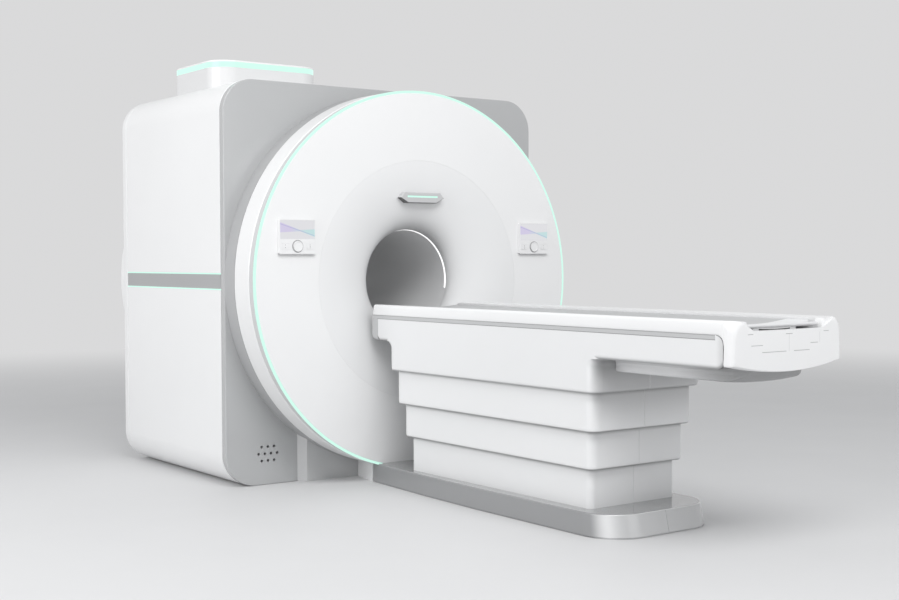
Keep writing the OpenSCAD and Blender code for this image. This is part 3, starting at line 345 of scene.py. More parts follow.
def drawn(name, shape):
    """A mesh object from points and faces, with its faces turned outwards."""
    mesh = bpy.data.meshes.new(name)
    mesh.from_pydata(shape[0], [], shape[1])
    work = bmesh.new()
    work.from_mesh(mesh)
    bmesh.ops.remove_doubles(work, verts=work.verts, dist=1e-6)
    bmesh.ops.recalc_face_normals(work, faces=work.faces)
    work.to_mesh(mesh)
    work.free()
    thing = bpy.data.objects.new(name, mesh)
    bpy.context.scene.collection.objects.link(thing)
    return thing


def settle(thing):
    """Applies the modifiers to the mesh."""
    graph = bpy.context.evaluated_depsgraph_get()
    graph.update()
    made = bpy.data.meshes.new_from_object(thing.evaluated_get(graph), preserve_all_data_layers=True,
                                           depsgraph=graph)
    thing.modifiers.clear()
    thing.data = made


def carve(thing, *tools):
    """Cuts the tools out of a thing and removes them."""
    for tool in tools:
        modifier = thing.modifiers.new("carve", "BOOLEAN")
        modifier.operation = "DIFFERENCE"
        modifier.solver = "EXACT"
        modifier.object = tool
        settle(thing)
        bpy.data.objects.remove(tool)


def mount(thing, finish, body, slot, *stands_for, sharp=40):
    """Shades a thing, gives it its finish and fixes it to its body in place of the plain solids."""
    mesh = thing.data
    mesh.polygons.foreach_set("use_smooth", [True] * len(mesh.polygons))
    mesh.set_sharp_from_angle(angle=math.radians(sharp))
    thing.modifiers.new("shade", "WEIGHTED_NORMAL").keep_sharp = True
    settle(thing)
    thing.data.materials.clear()
    thing.data.materials.append(finish.material)
    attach(thing, body)
    if stands_for:
        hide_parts(*stands_for)


def frame_plate(y0, y1):
    """A plate with soft outer edges and a round opening, between two places along Y."""
    def outline(y, inset):
        return [(x, y, z) for x, z in rounded(
            -housing_x + inset, housing_x - inset, inset, housing_z - inset, corner_r - inset,
            frame_corner_steps, frame_side_steps)]

    def hole(y):
        turns = [math.atan2(z - axis_z, x) for x, _, z in outline(y, 0)]
        return [(frame_hole_r * math.cos(a), y, axis_z + frame_hole_r * math.sin(a)) for a in turns]

    front = bend(y0 + frame_edge, frame_edge, frame_edge, 180, 270, 4)
    back = bend(y1 - frame_edge, frame_edge, frame_edge, 270, 360, 4)
    return skin([hole(y0)] + [outline(y, inset) for y, inset in front + back] + [hole(y1)], round_trip=True)


grille_middle = (-0.843, 0.179)
grille_pitch = 0.040
grille_hole_r = 0.0085
overshoot = 0.01
front_plate = drawn("front_plate", frame_plate(frame_low.y, frame_back))
for row, count in ((-1, 3), (0, 4), (1, 3)):
    for i in range(count):
        x = grille_middle[0] + (i - (count - 1) / 2) * grille_pitch
        z = grille_middle[1] + row * grille_pitch
        ring = bend(x, z, grille_hole_r, 0, 345, 23)
        drill = drawn("drill", skin([[(px, y, pz) for px, pz in ring]
                                     for y in (frame_low.y - overshoot, frame_back + overshoot)]))
        carve(front_plate, drill)
mount(front_plate, lacquer_grey, "root", "frame_grey", "front_frame")
frame_white = moulded("frame_white", (0.84, 0.842, 0.845), 0.36, coat=0.15)
mount(drawn("rear_plate", frame_plate(rear_high.y - rear_t, rear_high.y)),
      frame_white, "root", "cover_white", "rear_frame")
dress(moulded("speaker_black", (0.02, 0.02, 0.022), 0.6), "speaker")

# Wrap covers, side bands and their lights
# White moulded sheets wrap the housing between the two frames, with a narrow shadow gap at each.
# A grey band with a thin light guide above and below it divides the upper from the lower covers.

cover_wall = 0.008
cover_edge = 0.0035
cover_low, cover_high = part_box("upper_cover")
lower_low, lower_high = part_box("lower_cover_right")
gelcoat = moulded("gelcoat", (0.86, 0.862, 0.865), 0.36, coat=0.15)
band_paint = moulded("band_paint", (0.40, 0.404, 0.41), 0.4)
mint = (0.58, 0.92, 0.79)
pale_mint = (0.66, 0.96, 0.86)
mint_guide = Finish("mint_guide", (0.04, 0.06, 0.055), 0.35)
mint_guide.give({
    "Emission Color": mint_guide.mix(mint_guide.noise(60) * 0.3, (*mint, 1), (*pale_mint, 1)),
    "Emission Strength": 1.0})


def wrap(path, y0, y1, wall=cover_wall, edge=cover_edge):
    """A sheet along a path in X and Z with its outward normals, with soft front and rear edges."""
    section = ([(-wall, y0)] + bend(-edge, y0 + edge, edge, 270, 360, 3)
               + bend(-edge, y1 - edge, edge, 0, 90, 3) + [(-wall, y1)])
    return skin([[(x + out * nx, y, z + out * nz) for out, y in section] for (x, z), (nx, nz) in path])


def housing_path(low_x, side, z_low, z_high, inset=0.0):
    """Points and normals round the housing on one side, from the foot or a height up to a height."""
    half = housing_x - inset
    r = corner_r - inset
    path = []
    if z_low <= 0:
        path.append(((side * low_x, inset), (0, -1)))
        path += [((side * x, z), (side * (x - half + r) / r, (z - inset - r) / r))
                 for x, z in bend(half - r, inset + r, r, 270, 360, 20)]
    else:
        path.append(((side * half, z_low), (side, 0)))
    if z_high >= housing_z:
        path += [((side * x, z), (side * (x - half + r) / r, (z - housing_z + inset + r) / r))
                 for x, z in bend(half - r, housing_z - inset - r, r, 0, 90, 20)]
    else:
        path.append(((side * half, z_high), (side, 0)))
    return path


right = housing_path(0, 1, cover_low.z, housing_z)
left = housing_path(0, -1, cover_low.z, housing_z)
mount(drawn("upper_shell", wrap(right + left[::-1], cover_low.y, cover_high.y)),
      gelcoat, "root", "cover_white", "upper_cover")
for side, name in ((-1, "left"), (1, "right")):
    path = housing_path(lower_low.x, side, 0, lower_high.z)
    mount(drawn("lower_shell_" + name, wrap(path, cover_low.y, cover_high.y)),
          gelcoat, "root", "cover_white", "lower_cover_" + name)

band_low, band_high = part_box("side_bands")
band_inset = 0.002
band_wall = 0.006
band_edge = 0.002
lights_low, lights_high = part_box("side_lights")
light_inset = 0.001
light_gap = 0.0004
for side, name in ((-1, "left"), (1, "right")):
    path = housing_path(0, side, band_low.z, band_high.z, band_inset)
    mount(drawn("side_band_" + name, wrap(path, cover_low.y, cover_high.y, band_wall, band_edge)),
          band_paint, "root", "band_grey", "side_bands")
    for z0, z1, place in ((lights_low.z, band_low.z, "low"), (band_high.z, lights_high.z, "high")):
        path = housing_path(0, side, z0 + light_gap, z1 - light_gap, light_inset)
        mount(drawn("side_light_%s_%s" % (name, place),
                    wrap(path, cover_low.y, cover_high.y, band_wall, band_edge)),
              mint_guide, "root", "light_cyan", "side_lights")

# Turret
# The raised cover over the cold head is a moulded shell that stands on the housing's left half.
# A light guide of clear plastic runs round under its flat white cap.

turret_low, turret_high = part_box("turret_cap")
guide_low, guide_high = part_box("turret_light")
turret_r = 0.13
# The turret shell is a darker copy of the covers' white, toned down as painted shade because it stands close
# to the key lamp.
turret_dimmed_white = moulded("turret_dimmed_white", (0.74, 0.742, 0.746), 0.3, coat=0.3)
turret_foot = 0.04
turret_lip = 0.001
turret_edge = 0.006
guide_inset = 0.0015


def turret_ring(z, inset):
    return [(x, y, z) for x, y in rounded(
        turret_low.x + inset, turret_high.x - inset, turret_low.y + inset, turret_high.y - inset,
        turret_r - inset, 20)]


mount(drawn("turret_body", skin([turret_ring(housing_z - turret_foot, 0),
                                 turret_ring(guide_low.z - turret_lip, 0),
                                 turret_ring(guide_low.z, turret_lip)])),
      turret_dimmed_white, "root", "cover_white", "turret_cover")
mount(drawn("turret_guide", skin([turret_ring(z, guide_inset) for z in (guide_low.z, guide_high.z)])),
      mint_guide, "root", "light_cyan", "turret_light")
turret_rings = [turret_ring(turret_low.z, 0)]
for c, z in bend(0, turret_high.z - turret_edge, turret_edge, 0, 90, 5):
    turret_rings.append(turret_ring(z, turret_edge - c))
mount(drawn("turret_top", skin(turret_rings)), gelcoat, "root", "cover_white", "turret_cap")

# Round front
# A neck, a white rim and a grey trim are moulded rings on the bore's axis. A light guide edges the
# white face, which runs into the bell of the bore: a moulded funnel, then the patient liner with
# an arc of light and a bridge for the cradle.

turn_steps = 256


def turned(name, profile):
    """A closed profile of radii and places along Y, turned about the bore's axis."""
    rings = []
    for i in range(turn_steps):
        a = 2 * math.pi * i / turn_steps
        rings.append([(r * math.sin(a), y, axis_z + r * math.cos(a)) for r, y in profile])
    return drawn(name, skin(rings, round_trip=True))


neck_low, neck_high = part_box("neck_ring")
rim_low, rim_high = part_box("front_rim")
trim_low, trim_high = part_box("rim_trim")
face_low, face_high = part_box("front_face")
tube_low, tube_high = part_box("bore_tube")
neck_r = neck_high.x
trim_r = trim_high.x
bore_r = 0.300
liner_t = 0.008
face_r = 0.702
neck_wall = 0.012
rim_edge = 0.012
rim_gap = 0.001
ring_in = ring_r - 0.024
trim_edge = 0.003
ring_light_w = 0.014
ring_light_edge = 0.004
turned_gap = 0.0004
trim_paint = moulded("trim_paint", (0.62, 0.624, 0.63), 0.38)
# The neck is a darker copy of the trim grey, as painted shade for the shadow behind the rim.
neck_shaded_grey = moulded("neck_shaded_grey", (0.43, 0.434, 0.44), 0.4)
mount(turned("neck", [(neck_r - neck_wall, neck_low.y), (neck_r, neck_low.y), (neck_r, neck_high.y),
                      (neck_r - neck_wall, neck_high.y)]),
      neck_shaded_grey, "root", "trim_grey", "neck_ring")
rim_profile = ([(ring_in, rim_low.y + rim_gap)]
               + [(r, y) for y, r in bend(rim_low.y + rim_edge / 2, ring_r - rim_edge / 2,
                                          rim_edge / 2, 180, 90, 5)]
               + [(r, y) for y, r in bend(rim_high.y - rim_edge, ring_r - rim_edge,
                                          rim_edge, 90, 0, 8)]
               + [(ring_in, rim_high.y)])
mount(turned("rim", rim_profile), gelcoat, "root", "cover_white", "front_rim")
trim_profile = [(ring_in, trim_low.y), (trim_r - trim_edge, trim_low.y),
                (trim_r, trim_low.y + trim_edge), (trim_r, trim_high.y), (ring_in, trim_high.y)]
mount(turned("trim", trim_profile), trim_paint, "root", "trim_grey", "rim_trim")
guide_profile = ([(ring_r - ring_light_w, ring_high.y - 0.002), (ring_r - ring_light_w, ring_low.y)]
                 + [(r, y) for y, r in bend(ring_low.y + ring_light_edge, ring_r - ring_light_edge,
                                            ring_light_edge, 180, 90, 4)]
                 + [(ring_r, trim_low.y - turned_gap), (ring_r - 0.02, trim_low.y - turned_gap)])
mount(turned("ring_guide", guide_profile), mint_guide, "root", "light_cyan", "ring_light")

face_edge = 0.0025
face_gap = 0.0006
face_out = ring_r - ring_light_w - face_gap
face_profile = ([(face_r, face_low.y)]
                + [(r, y) for y, r in bend(face_low.y + face_edge, face_out - face_edge,
                                           face_edge, 180, 90, 4)]
                + [(face_out, face_high.y), (face_r, face_high.y)])
mount(turned("face", face_profile), gelcoat, "root", "cover_white", "front_face")

funnel_shell = 0.009
mouth_l = 0.012
mouth_y = tube_low.y - mouth_l
funnel_d = mouth_y - face_low.y
bell_steps = 40


def bell(back):
    """The bell's quarter ellipse from the face to the mouth, set back by a distance."""
    return [(face_r - turned_gap - (face_r - bore_r - back) * math.sin(a),
             mouth_y - (funnel_d - back) * math.cos(a))
            for a in (math.pi / 2 * i / bell_steps for i in range(bell_steps + 1))]


funnel_paint = moulded("funnel_paint", (0.83, 0.833, 0.837), 0.38)
# Painted shade: the bell darkens towards the mouth and on what faces the floor.
funnel_y = funnel_paint.axes()[1]
shade_near_mouth = funnel_paint.ease(funnel_y, mouth_y - 0.12, mouth_y + mouth_l)
at_front = 1 - funnel_paint.ease(funnel_y, mouth_y + 0.05, mouth_y + 0.3)
funnel_paint.darken(shade_near_mouth * at_front * 0.15)
funnel_paint.shade_under(0.34)
mount(turned("bell", bell(0) + [(bore_r, tube_low.y - turned_gap),
                                (bore_r + funnel_shell, tube_low.y - turned_gap)]
             + bell(funnel_shell)[::-1]),
      funnel_paint, "root", "liner_grey", "bore_funnel")
liner_paint = moulded("liner_paint", (0.78, 0.782, 0.785), 0.45)
mount(turned("liner", [(bore_r, tube_low.y), (bore_r, tube_high.y), (bore_r + liner_t, tube_high.y),
                       (bore_r + liner_t, tube_low.y)]),
      liner_paint, "root", "liner_grey", "bore_tube")

bore_guide = Finish("bore_guide", (0.8, 0.8, 0.8), 0.4)
bore_guide.give({
    "Emission Color": (1.0, 1.0, 1.0, 1),
    "Emission Strength": 1.0,
    "Base Color": bore_guide.mix(bore_guide.noise(80), (0.8, 0.8, 0.8, 1), (0.7, 0.7, 0.7, 1))})
dress(bore_guide, "bore_light")
bridge_paint = moulded("bridge_paint", (0.62, 0.622, 0.626), 0.42)
dress(bridge_paint, "bore_bridge")

# Visor
# A small moulded bar of grey plastic is fixed to the face over the bore. A slot cut in its front
# holds a light guide that faces the table, and its slanted underside is painted dark as painted shade.

visor_low, visor_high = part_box("visor")
visor_light_low, visor_light_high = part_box("visor_light")
visor_paint = moulded("visor_paint", (0.56, 0.564, 0.57), 0.3, coat=0.3)
# Painted shade: the underside is darkened nearly to black.
visor_paint.shade_under(0.97)
visor_edge = 0.004
slot_room = 0.0005


def soften(thing, width, segments, angle):
    """Rounds the edges that are sharper than an angle in degrees."""
    modifier = thing.modifiers.new("soft_edges", "BEVEL")
    modifier.width = width
    modifier.segments = segments
    modifier.limit_method = "ANGLE"
    modifier.angle_limit = math.radians(angle)


def box_skin(x0, x1, y0, y1, z0, z1):
    """A plain box, to cut with."""
    return skin([[(x0, y, z0), (x1, y, z0), (x1, y, z1), (x0, y, z1)] for y in (y0, y1)])


def visor_ring(y, inset):
    """Section of the bar at a place along Y: widest in the middle and narrow at its foot."""
    w = visor_high.x - inset
    h = (visor_high.z - visor_low.z) / 2 - inset
    z = (visor_high.z + visor_low.z) / 2
    side = [(w - 0.052, -h), (w - 0.012, -h * 0.2), (w, 0.0), (w - 0.010, h * 0.3), (w - 0.026, h)]
    loop = side + [(-x, dz) for x, dz in side[::-1]]
    return [(x, y, z + dz) for x, dz in loop]


visor_bar = drawn("visor_bar", skin([visor_ring(visor_low.y, visor_edge),
                                     visor_ring(visor_low.y + visor_edge, 0.0),
                                     visor_ring(visor_high.y, 0.0)]))
soften(visor_bar, 0.002, 2, 30)
settle(visor_bar)
carve(visor_bar, drawn("slot", box_skin(
    visor_light_low.x - slot_room, visor_light_high.x + slot_room, visor_low.y - overshoot,
    visor_light_high.y + 0.001, visor_light_low.z - slot_room, visor_light_high.z + slot_room)))
mount(visor_bar, visor_paint, "root", "trim_grey", "visor")
dress(mint_guide, "visor_light")

# Control panels
# Each panel is a moulded plate set into the white face, with a display behind glass, a round dial
# and a key on each side of it. The display shows a folded ribbon in lilac and teal.

bezel_out = 0.0025
dot_r = 0.0016
dot_fade = 0.0028


def away(paint, x, z):
    """The square of the distance from a point on the face, in X and Z."""
    x_at, _, z_at = paint.axes()
    across = x_at - x
    up = z_at - z
    return across * across + up * up


for side in ("left", "right"):
    dial_low, dial_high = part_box("dial_" + side)
    dial_x = (dial_low.x + dial_high.x) / 2
    dial_z = (dial_low.z + dial_high.z) / 2
    dial_r = (dial_high.x - dial_low.x) / 2
    panel_paint = moulded("panel_paint_" + side, (0.84, 0.842, 0.846), 0.3, coat=0.3)
    out = away(panel_paint, dial_x, dial_z).root()
    bezel = (1 - panel_paint.ease(abs(out - dial_r - bezel_out), 0.0008, 0.0022)) * 0.75
    panel_paint.darken(bezel, (0.16, 0.16, 0.165))
    # Painted shade on the panel's underside.
    panel_paint.shade_under(0.75)
    dress(panel_paint, "panel_" + side)
    dial_paint = moulded("dial_paint_" + side, (0.84, 0.842, 0.846), 0.28, coat=0.4)
    out = away(dial_paint, dial_x, dial_z).root()
    rim_mark = dial_paint.ease(out, dial_r - 0.0030, dial_r - 0.0012) * 0.6
    dial_paint.darken(rim_mark, (0.20, 0.20, 0.205))
    dress(dial_paint, "dial_" + side)
    for place, marks in (("outer", ((0.0, 0.007), (0.0, -0.007))),
                         ("inner", ((0.0, 0.008), (0.0, 0.0), (0.0, -0.008)))):
        name = "key_%s_%s" % (side, place)
        key_low, key_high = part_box(name)
        key_paint = moulded(name + "_paint", (0.83, 0.832, 0.836), 0.34, coat=0.2)
        dots = 0.0
        for dx, dz in marks:
            dot = away(key_paint, (key_low.x + key_high.x) / 2 + dx, (key_low.z + key_high.z) / 2 + dz)
            dots = dots + (1 - key_paint.ease(dot, dot_r ** 2, dot_fade ** 2))
        key_paint.darken(dots * 0.75, (0.15, 0.15, 0.155))
        dress(key_paint, name)
for side in ("left", "right"):
    glass_low, glass_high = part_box("screen_" + side)
    glass = Finish("display_glass_" + side, (0.03, 0.03, 0.035), 0.15)
    across, _, up = glass.axes()
    across = (across - glass_low.x) / (glass_high.x - glass_low.x)
    up = (up - glass_low.z) / (glass_high.z - glass_low.z)
    fan = abs(across - 0.58)
    middle = 0.62 - across * 0.30
    body = 1 - glass.ease(abs(up - middle) - fan * 0.42, 0.01, 0.05)
    crease = 1 - glass.ease(abs(up - 0.80 + across * 0.62), 0.008, 0.035)
    lilac_to_teal = [(0.30, (0.50, 0.38, 0.80)), (0.75, (0.26, 0.74, 0.72))]
    hue = glass.node("ShaderNodeValToRGB", {"stops": lilac_to_teal}, {0: across})
    field = glass.mix(glass.noise(14) * 0.4, (0.76, 0.76, 0.78, 1), (0.70, 0.70, 0.73, 1))
    picture = glass.mix(body * 0.42, field, hue)
    picture = glass.mix(crease * 0.45, picture, (0.30, 0.30, 0.62, 1))
    glass.give({"Emission Color": picture, "Emission Strength": 0.92})
    dress(glass, "screen_" + side)

# Foot of the gantry
# A low plinth of lacquered plastic stands on the floor in front of the front frame, with its
# edges rounded over. A tapered neck joins it to the table's own plinth; its near-white paint is a
# painted highlight.

pedestal_paint = moulded("pedestal_paint", (0.56, 0.563, 0.568), 0.28, grain=0.00003, coat=0.5)
# The neck's near-white paint is a painted highlight.
neck_highlight_paint = moulded("neck_highlight_paint", (0.84, 0.843, 0.848), 0.3, coat=0.3)
dress(pedestal_paint, "front_pedestal")
soften(nodes["front_pedestal"], 0.012, 4, 60)
dress(neck_highlight_paint, "pedestal_neck")

# Rear covers
# A flat round moulded cover with a soft edge hangs on the rear frame. A funnel like the front one
# leads from it into the liner.

rear_cover_low, rear_cover_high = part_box("rear_cover")
rear_wall = 0.012
rear_edge = 0.030
rear_face_r = 0.560
rear_shell = 0.010
rear_bell_gap = 0.0003
rear_bell_steps = 30
rear_profile = ([(ring_r - rear_wall, rear_cover_low.y), (ring_r, rear_cover_low.y)]
                + [(r, y) for y, r in bend(rear_cover_high.y - rear_edge, ring_r - rear_edge,
                                           rear_edge, 90, 0, 12)]
                + [(rear_face_r, rear_cover_high.y), (rear_face_r, rear_cover_high.y - rear_shell),
                   (ring_r - rear_edge, rear_cover_high.y - rear_shell)])
mount(turned("rear_disc", rear_profile), gelcoat, "root", "cover_white", "rear_cover")
rear_funnel_low, rear_funnel_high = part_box("rear_funnel")


def rear_bell(back):
    wide = rear_face_r - rear_bell_gap
    deep = rear_funnel_high.y - rear_funnel_low.y
    return [(wide - (wide - bore_r - back) * math.sin(a),
             rear_funnel_low.y + (deep - back) * math.cos(a))
            for a in (math.pi / 2 * i / rear_bell_steps for i in range(rear_bell_steps + 1))]


mount(turned("rear_bell", rear_bell(0) + rear_bell(funnel_shell)[::-1]),
      funnel_paint, "root", "liner_grey", "rear_funnel")

# Table plinth
# A flat foot in glossy grey lacquer carries the table on the floor, and is hollow round the
# lifting columns. Its sides are nearly upright and its far corners round, it stands on a set-back
# toe, and a seam runs down the middle of its far end.

plinth_low, plinth_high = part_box("plinth")
plinth_paint = moulded("plinth_paint", (0.29, 0.293, 0.298), 0.20, grain=0.00003, coat=0.6)
# Painted reflection: the far end is painted lighter, and the far corners lighter still as a painted
# highlight.
toward = plinth_paint.faces_far()
end_reflection = plinth_paint.ease(toward, 0.55, 0.95)
plinth_turn = 1 - plinth_paint.ease(toward, 0.62, 0.93)
corner_highlight = plinth_paint.ease(toward, 0.22, 0.62) * plinth_turn
plinth_paint.darken(end_reflection * 0.95, (0.53, 0.533, 0.538))
plinth_paint.darken(corner_highlight * 0.75, (0.86, 0.862, 0.866))
plinth_side_slope = 0.007
plinth_end_slope = 0.024
plinth_r = 0.205
plinth_toe = 0.005
neck_half = 0.312
bow_y = plinth_high.y - 1.069
ease_y = plinth_high.y - 0.569
seam_w = 0.0015
seam_d = 0.003


def plinth_ring(z, side, end):
    """Plan of the foot at a height, drawn in at its sides and at its far end."""
    half = plinth_high.x - side
    far = plinth_low.y + end
    r = plinth_r - side
    near_x = neck_half - side
    edge = [(-near_x, plinth_high.y), (-half + (half - near_x) * 0.3, ease_y), (-half, bow_y)]
    edge += bend(-half + r, far + r, r, 180, 270, 32)
    seam = [(-seam_w, far), (0, far + seam_d), (seam_w, far)]
    return [(x, y, z) for x, y in edge + seam + [(-x, y) for x, y in edge[::-1]]]


toe_z = 0.006
toe_turn = 0.0015
plinth_soft = 0.007
plinth_rings = [plinth_ring(0.0, plinth_toe, plinth_toe), plinth_ring(toe_z, plinth_toe, plinth_toe),
                plinth_ring(toe_z + toe_turn, 0.0, 0.0)]
for c, rise in bend(0, 0, plinth_soft, 0, 90, 6):
    draw_in = plinth_soft - c
    plinth_rings.append(plinth_ring(plinth_high.z - plinth_soft + rise,
                                    plinth_side_slope + draw_in, plinth_end_slope + draw_in))

well_low, well_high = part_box("columns_outer")
well_room = 0.03
well_floor = 0.010
foot = drawn("foot", skin(plinth_rings))
carve(foot, drawn("well", box_skin(
    well_low.x - well_room, well_high.x + well_room, well_low.y - well_room,
    well_high.y + well_room, well_floor, plinth_high.z + overshoot)))
mount(foot, plinth_paint, "root", "plinth_grey", "plinth")

# Pedestal skirts
# Three sprayed shells hang over one another round the lifting columns and slide together as the
# table comes down. Each has soft corners and a seam down its far end, and the two that move have
# a bevelled foot with a lip that closes in round the next shell.

skirt_r = 0.060
skirt_corner_step = 0.009
flange_x = 0.0194
flange_far = 0.0304
flange_near = 0.0334
foot_profile = ((0.009, 0.0), (0.0075, 0.0006), (0.004, 0.003), (0.001, 0.009), (0.0, 0.017))
shell_wall = 0.006
lip_t = 0.005
lip_x = 0.0254
lip_far = 0.0364
lip_near = 0.0394
lip_r_more = 0.0006
lip_shadow_low = 0.022
lip_shadow_high = 0.004


def skirt_ring(z, half, far, near, r):
    """Plan of a shell at a height, with a narrow groove in the middle of its far end."""
    loop = rounded(-half, half, far, near, r, 16)
    return [(x, y, z) for x, y in loop + [(-seam_w, far), (0, far + seam_d), (seam_w, far)]]


def skirt_lining(z_high, z_low, half, far, near, r, lip=True):
    """The inner wall from the top down, and the lip that closes in round the next shell."""
    def wall(z):
        return skirt_ring(z, half - shell_wall, far + shell_wall, near - shell_wall, r - shell_wall)

    if not lip:
        return [wall(z_high), wall(z_low)]
    lip_r = r - skirt_corner_step + lip_r_more
    edge = [skirt_ring(z, half - lip_x, far + lip_far, near - lip_near, lip_r)
            for z in (z_low + lip_t, z_low)]
    return [wall(z_high), wall(z_low + lip_t)] + edge


for level, name, over, end_shade in ((1, "tier_upper", "table_body", 0.30),
                                     (2, "tier_lower", "tier_upper", 0.08),
                                     (3, "tier_fixed", "tier_lower", 0.0)):
    low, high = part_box(name)
    fixed = name == "tier_fixed"
    over_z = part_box(over)[0].z
    skirt_paint = moulded("skirt_paint_" + name, (0.82, 0.823, 0.827), 0.34, coat=0.1)
    # Painted shade: the far end darkens towards the top under the overhang, a painted shadow line runs just
    # under the shell above, and what faces the floor is darker.
    skirt_z = skirt_paint.axes()[2]
    skirt_end = skirt_paint.ease(skirt_paint.faces_far(), 0.5, 0.98)
    skirt_paint.darken(skirt_paint.ease(skirt_z, low.z, over_z) * skirt_end * end_shade)
    skirt_paint.darken(skirt_paint.ease(skirt_z, over_z - lip_shadow_low, over_z + lip_shadow_high) * 0.55)
    skirt_paint.shade_under(0.8)
    half = high.x - flange_x
    far = low.y + flange_far
    near = high.y - flange_near
    r = skirt_r - level * skirt_corner_step
    base = ((0.0, 0.0),) if fixed else foot_profile
    rings = [skirt_ring(low.z + rise, half - inset, far + inset, near - inset, r - inset)
             for inset, rise in base]
    rings.append(skirt_ring(high.z, half, far, near, r))
    lining = skirt_lining(high.z, low.z, half, far, near, r, lip=not fixed)
    shell = drawn("skirt_" + name, skin(rings + lining, round_trip=True))
    mount(shell, skirt_paint, "root" if fixed else name, "table_white", name, sharp=50)

# Table body
# One white moulding makes the long overhanging beam and the top skirt, which flares into both
# overhangs with hollow fillets. A shallow tray closes the underside of the far overhang.

body_low, body_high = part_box("table_body")
bed_low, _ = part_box("slide_bed")
table_x = body_high.x
beam_z = bed_low.z - 0.001
bed_t = 0.022
bed_top = body_high.z
bed_z = bed_top - bed_t
beam_edge = 0.022
beam_gap = 0.0001
beam_near_r = 0.020
beam_far_r = 0.042
beam_side_r = 0.003
rise_l = 0.045
body_paint = moulded("body_paint", (0.80, 0.803, 0.808), 0.34, coat=0.1)


def drop(r, d):
    """How far a round corner has drawn in at a distance from its end."""
    return 0.0 if d >= r else r - math.sqrt(r * r - (r - d) ** 2)


def soft_steps(r, steps=10):
    """Distances from the end of a round corner, close together where it bends most."""
    return [r - r * math.cos(math.pi / 2 * i / steps) for i in range(steps + 1)]


def beam_ring(y, d, end_r, top):
    """Section of the beam at a place along Y, with soft lower edges."""
    half = table_x - beam_gap - drop(beam_side_r, d)
    low = beam_z + drop(end_r, d)
    left_turn = bend(-half + beam_edge, low + beam_edge, beam_edge, 180, 270, 10)
    right_turn = bend(half - beam_edge, low + beam_edge, beam_edge, 270, 360, 10)
    return [(x, y, z) for x, z in left_turn + right_turn + [(half, top), (-half, top)]]


end_middle_z = (bed_top + beam_z) / 2
end_flat = (bed_top - beam_z) / 2 - beam_far_r
groove_w = 0.0032
_, body_y, body_z = body_paint.axes()
past_y = body_low.y + beam_far_r - body_y
past_z = abs(body_z - end_middle_z) - end_flat
past_y = past_y * (past_y > 0)
past_z = past_z * (past_z > 0)
reach = (past_y * past_y + past_z * past_z).root()
groove = body_paint.ease(reach, beam_far_r - groove_w, beam_far_r - groove_w * 0.4) * (past_y > 0.001)
body_paint.darken(groove * 0.8, (0.10, 0.10, 0.102))
# Painted shade: the top skirt's far end darkens under the overhang, the beam darkens towards its far end, and
# what faces the floor is darker.
overhang_shade = body_paint.ease(body_paint.faces_far(), 0.3, 0.95) * (body_y > body_low.y + 0.2)
body_paint.darken(overhang_shade * (0.30 + body_paint.ease(body_z, 0.69, 0.83) * 0.28))
body_paint.darken((1 - body_paint.ease(body_y, body_low.y + 0.004, body_low.y + rise_l)) * 0.2)
body_paint.shade_under(0.5)

beam_rings = [beam_ring(body_high.y - d, d, beam_near_r, bed_z) for d in soft_steps(beam_near_r)]
beam_rings.append(beam_ring(body_low.y + rise_l, rise_l, beam_far_r, bed_z))
beam_rings += [beam_ring(body_low.y + d, d, beam_far_r, bed_top - drop(beam_far_r, d))
               for d in [rise_l] + soft_steps(beam_far_r)[::-1]]
upper_low, upper_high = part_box("tier_upper")
skirt_out_far = 0.037
skirt_out_near = 0.040
body_far = upper_low.y + flange_far - skirt_out_far
body_near = upper_high.y - flange_near + skirt_out_near
body_wall = 0.008
long_overshoot = 0.1
beam = drawn("beam", skin(beam_rings))
way = [skirt_ring(z, table_x - shell_wall, body_far + shell_wall, body_near - shell_wall,
                  skirt_r - shell_wall)
       for z in (beam_z - 2 * overshoot, beam_z + body_wall + overshoot)]
carve(beam,
      drawn("tub", box_skin(-table_x + body_wall, table_x - body_wall, body_low.y + rise_l + body_wall,
                            body_high.y - body_wall - 0.01, beam_z + body_wall, bed_z + long_overshoot)),
      drawn("way", skin(way)))
mount(beam, body_paint, "table", "table_white", "table_body", sharp=50)

fillet = 0.044
body_rings = [skirt_ring(body_low.z + rise, table_x - inset, body_far + inset, body_near - inset,
                         skirt_r - inset)
              for inset, rise in foot_profile]
for d in soft_steps(fillet, 14)[::-1]:
    flare = drop(fillet, d)
    flared = rounded(-table_x, table_x, body_far - flare, body_near + flare, skirt_r, 16)
    flared += [(-seam_w, body_far - flare), (0, body_far - flare + seam_d * d / fillet),
               (seam_w, body_far - flare)]
    body_rings.append([(x, y, beam_z - d) for x, y in flared])
body_rings.append([(x, y, beam_z + beam_edge + 0.002) for x, y, _ in body_rings[-1]])
body_rings += skirt_lining(body_rings[-1][0][2], body_low.z, table_x, body_far, body_near, skirt_r)
mount(drawn("top_skirt", skin(body_rings, round_trip=True)),
      body_paint, "table", "table_white", "table_body", sharp=50)

tray_low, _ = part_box("under_tray")
tray_paint = moulded("tray_paint", (0.74, 0.743, 0.748), 0.4)
# Painted shade: the tray darkens towards its far end under the cap, and on what faces the floor.
tray_y = tray_paint.axes()[1]
tray_paint.darken((1 - tray_paint.ease(tray_y, tray_low.y + 0.04, tray_low.y + 0.45)) * 0.5)
tray_paint.shade_under(0.25)
dress(tray_paint, "under_tray")

# Slide bed
# The bed is a grey moulding that lies on the body with a thin groove above and below. It carries
# the cradle's two rails and turns down over the body's gantry end.

bed_paint = moulded("bed_paint", (0.53, 0.533, 0.538), 0.36)
bed_gap = 0.0003
bed_groove = 0.0045
bed_groove_y = 0.004
bed_y_inner = body_high.y + bed_gap
_, bed_y_at, bed_z_at = bed_paint.axes()
